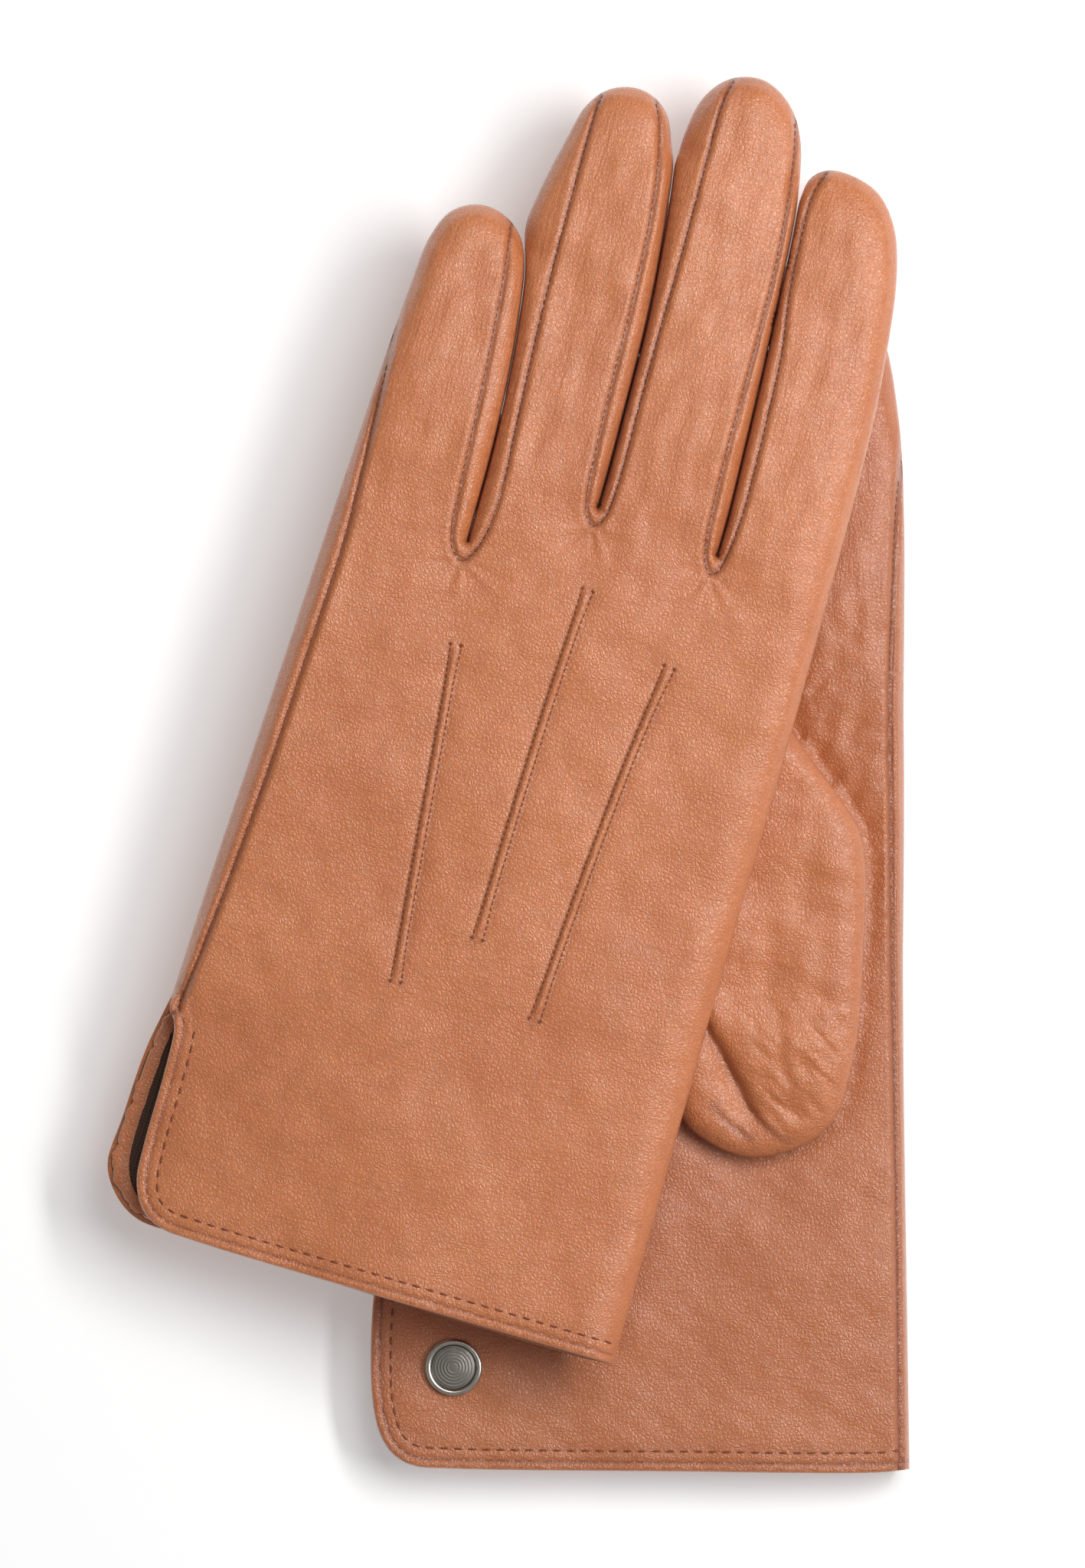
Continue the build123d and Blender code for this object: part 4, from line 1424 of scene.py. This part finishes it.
class GLOVES_OT_materials(bpy.types.Operator):
    """Make the leather, thread, lining and metal"""

    bl_idname = "gloves.materials"
    bl_label = "Materials"

    def execute(self, context):
        settings = context.scene.glove_settings
        MATERIALS["leather"] = leather_material(settings)
        MATERIALS["thread"] = thread_material(settings)
        MATERIALS["lining"] = lining_material(settings)
        MATERIALS["rim"] = metal_material("polished nickel", settings.metal_colour, 0.16, 0.15)
        dark = [c * 0.55 for c in settings.metal_colour]
        MATERIALS["plate"] = metal_material("brushed antique nickel", dark, 0.3, 0.5)
        MATERIALS["stitch tree"] = stitch_tree()
        return {"FINISHED"}


def area_light(name, place, size, watts):
    """A rectangular light that points at the middle of the gloves."""
    light = bpy.data.lights.new(name, "AREA")
    light.shape = "RECTANGLE"
    light.size, light.size_y = size
    light.energy = watts
    obj = bpy.data.objects.new(name, light)
    obj.location = place
    obj.rotation_euler = (-Vector(place)).to_track_quat("-Z", "Y").to_euler()
    bpy.context.scene.collection.objects.link(obj)


class GLOVES_OT_stage(bpy.types.Operator):
    """Lay the floor, light it and set the camera"""

    bl_idname = "gloves.stage"
    bl_label = "Stage"

    def execute(self, context):
        settings = context.scene.glove_settings
        mesh = bpy.data.meshes.new("floor")
        half = 3.0
        drop = -0.0006
        corners = [(x * half, y * half, drop) for x, y in ((-1, -1), (1, -1), (1, 1), (-1, 1))]
        mesh.from_pydata(corners, [], [(0, 1, 2, 3)])
        s = Shader("pale paper floor")
        s.bsdf.inputs["Base Color"].default_value = (0.93, 0.93, 0.93, 1.0)
        s.bsdf.inputs["Roughness"].default_value = 0.9
        s.bsdf.inputs["Emission Color"].default_value = (1.0, 1.0, 1.0, 1.0)
        s.bsdf.inputs["Emission Strength"].default_value = 0.22
        mesh.materials.append(s.material)
        new_object("floor", mesh)

        context.scene.view_settings.view_transform = "Standard"
        world = bpy.data.worlds.new("studio") if context.scene.world is None else context.scene.world
        context.scene.world = world
        world.use_nodes = True
        back = world.node_tree.nodes["Background"]
        back.inputs["Color"].default_value = (1.0, 1.0, 1.0, 1.0)
        back.inputs["Strength"].default_value = settings.fill_strength

        area_light("key", (0.24, 0.24, 0.7), (0.5, 0.5), settings.key_watts)
        area_light("side", (0.7, 0.12, 0.86), (0.8, 0.14), settings.side_watts)

        camera = bpy.data.cameras.new("camera")
        obj = bpy.data.objects.new("camera", camera)
        context.scene.collection.objects.link(obj)
        view_high = 0.3072
        height = settings.camera_height
        middle_z = 0.018
        camera.sensor_fit = "VERTICAL"
        camera.sensor_height = 36.0
        camera.lens = 36.0 * (height - middle_z) / view_high
        obj.location = (settings.view_x * MM, settings.view_y * MM, height)
        context.scene.camera = obj
        return {"FINISHED"}


# ---------------------------------------------------------------------------
# Add-on parts


def thickness(name, description, default, low, high):
    return FloatProperty(name=name, description=f"{description}, in mm", default=default, min=low, max=high)


def colour(name, description, default):
    return FloatVectorProperty(
        name=name, description=description, subtype="COLOR", default=default, min=0, max=1
    )


class GloveSettings(bpy.types.PropertyGroup):
    """Sizes and colours that a maker would change"""

    leather_mm: thickness("Leather thickness", "Thickness of the gloving leather", 0.85, 0.4, 1.5)
    lining_mm: thickness("Lining thickness", "Thickness of the knitted lining", 0.6, 0.3, 1.2)
    thread_mm: thickness("Thread thickness", "Thickness of the sewing thread", 0.4, 0.1, 1.0)
    grain_mm: thickness("Grain size", "Size of one pebble of the leather's grain", 0.78, 0.2, 3.0)
    finish: FloatProperty(
        name="Finish", description="How much polished topcoat the leather carries", default=0.85, min=0, max=1
    )
    leather_colour: colour("Leather", "Main colour of the leather", (0.62, 0.19, 0.061))
    leather_light_colour: colour("Leather, pale", "Paler clouds in the leather", (0.68, 0.223, 0.074))
    leather_shadow_colour: colour("Leather, deep", "Colour in the grain's valleys", (0.38, 0.105, 0.036))
    # Also the colour of the painted shade in grooves, creases, between fingers and over the lower glove.
    seam_and_shade_colour: colour("Seam", "Burnished leather along seams", (0.235, 0.058, 0.022))
    thread_colour: colour("Thread", "Colour of the sewing thread", (0.33, 0.1, 0.042))
    lining_colour: colour("Lining", "Colour of the knitted lining", (0.15, 0.07, 0.04))
    metal_colour: colour("Badge metal", "Colour of the badge's nickel", (0.6, 0.56, 0.5))
    camera_height: FloatProperty(
        name="Camera height",
        description="Height of the camera above the table",
        default=5.0,
        subtype="DISTANCE",
    )
    view_x: FloatProperty(name="View X", description="Middle of the view across, in mm", default=7.33)
    view_y: FloatProperty(name="View Y", description="Middle of the view up, in mm", default=-1.24)
    key_watts: FloatProperty(
        name="Key light", description="Power of the main soft light, in watts", default=2.4
    )
    side_watts: FloatProperty(name="Side light", description="Power of the side light, in watts", default=6.3)
    fill_strength: FloatProperty(
        name="Fill", description="Strength of the light from all round", default=0.29
    )


class GLOVES_PT_panel(bpy.types.Panel):
    """Lists the steps that build the gloves"""

    bl_idname = "GLOVES_PT_panel"
    bl_label = "Leather gloves"
    bl_space_type = "VIEW_3D"
    bl_region_type = "UI"
    bl_category = "Gloves"

    def draw(self, context):
        for operator in OPERATORS:
            self.layout.operator(operator.bl_idname)


OPERATORS = (
    GLOVES_OT_materials,
    GLOVES_OT_stage,
    GLOVES_OT_hands,
    GLOVES_OT_fingers,
    GLOVES_OT_thumbs,
    GLOVES_OT_linings,
    GLOVES_OT_stitching,
    GLOVES_OT_badge,
)
CLASSES = (GloveSettings, *OPERATORS, GLOVES_PT_panel)


def register():
    for cls in CLASSES:
        bpy.utils.register_class(cls)
    bpy.types.Scene.glove_settings = PointerProperty(type=GloveSettings)


def unregister():
    del bpy.types.Scene.glove_settings
    for cls in reversed(CLASSES):
        bpy.utils.unregister_class(cls)


def write_sizes():
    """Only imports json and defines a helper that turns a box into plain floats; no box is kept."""
    import json

    def plain(box):
        return [[float(x) for x in corner] for corner in box]


def main():
    register()
    for operator in OPERATORS:
        group, name = operator.bl_idname.split(".")
        if getattr(getattr(bpy.ops, group), name)() != {"FINISHED"}:
            raise RuntimeError(f"{operator.bl_idname} did not finish")
    write_sizes()


if __name__ == "__main__":
    main()
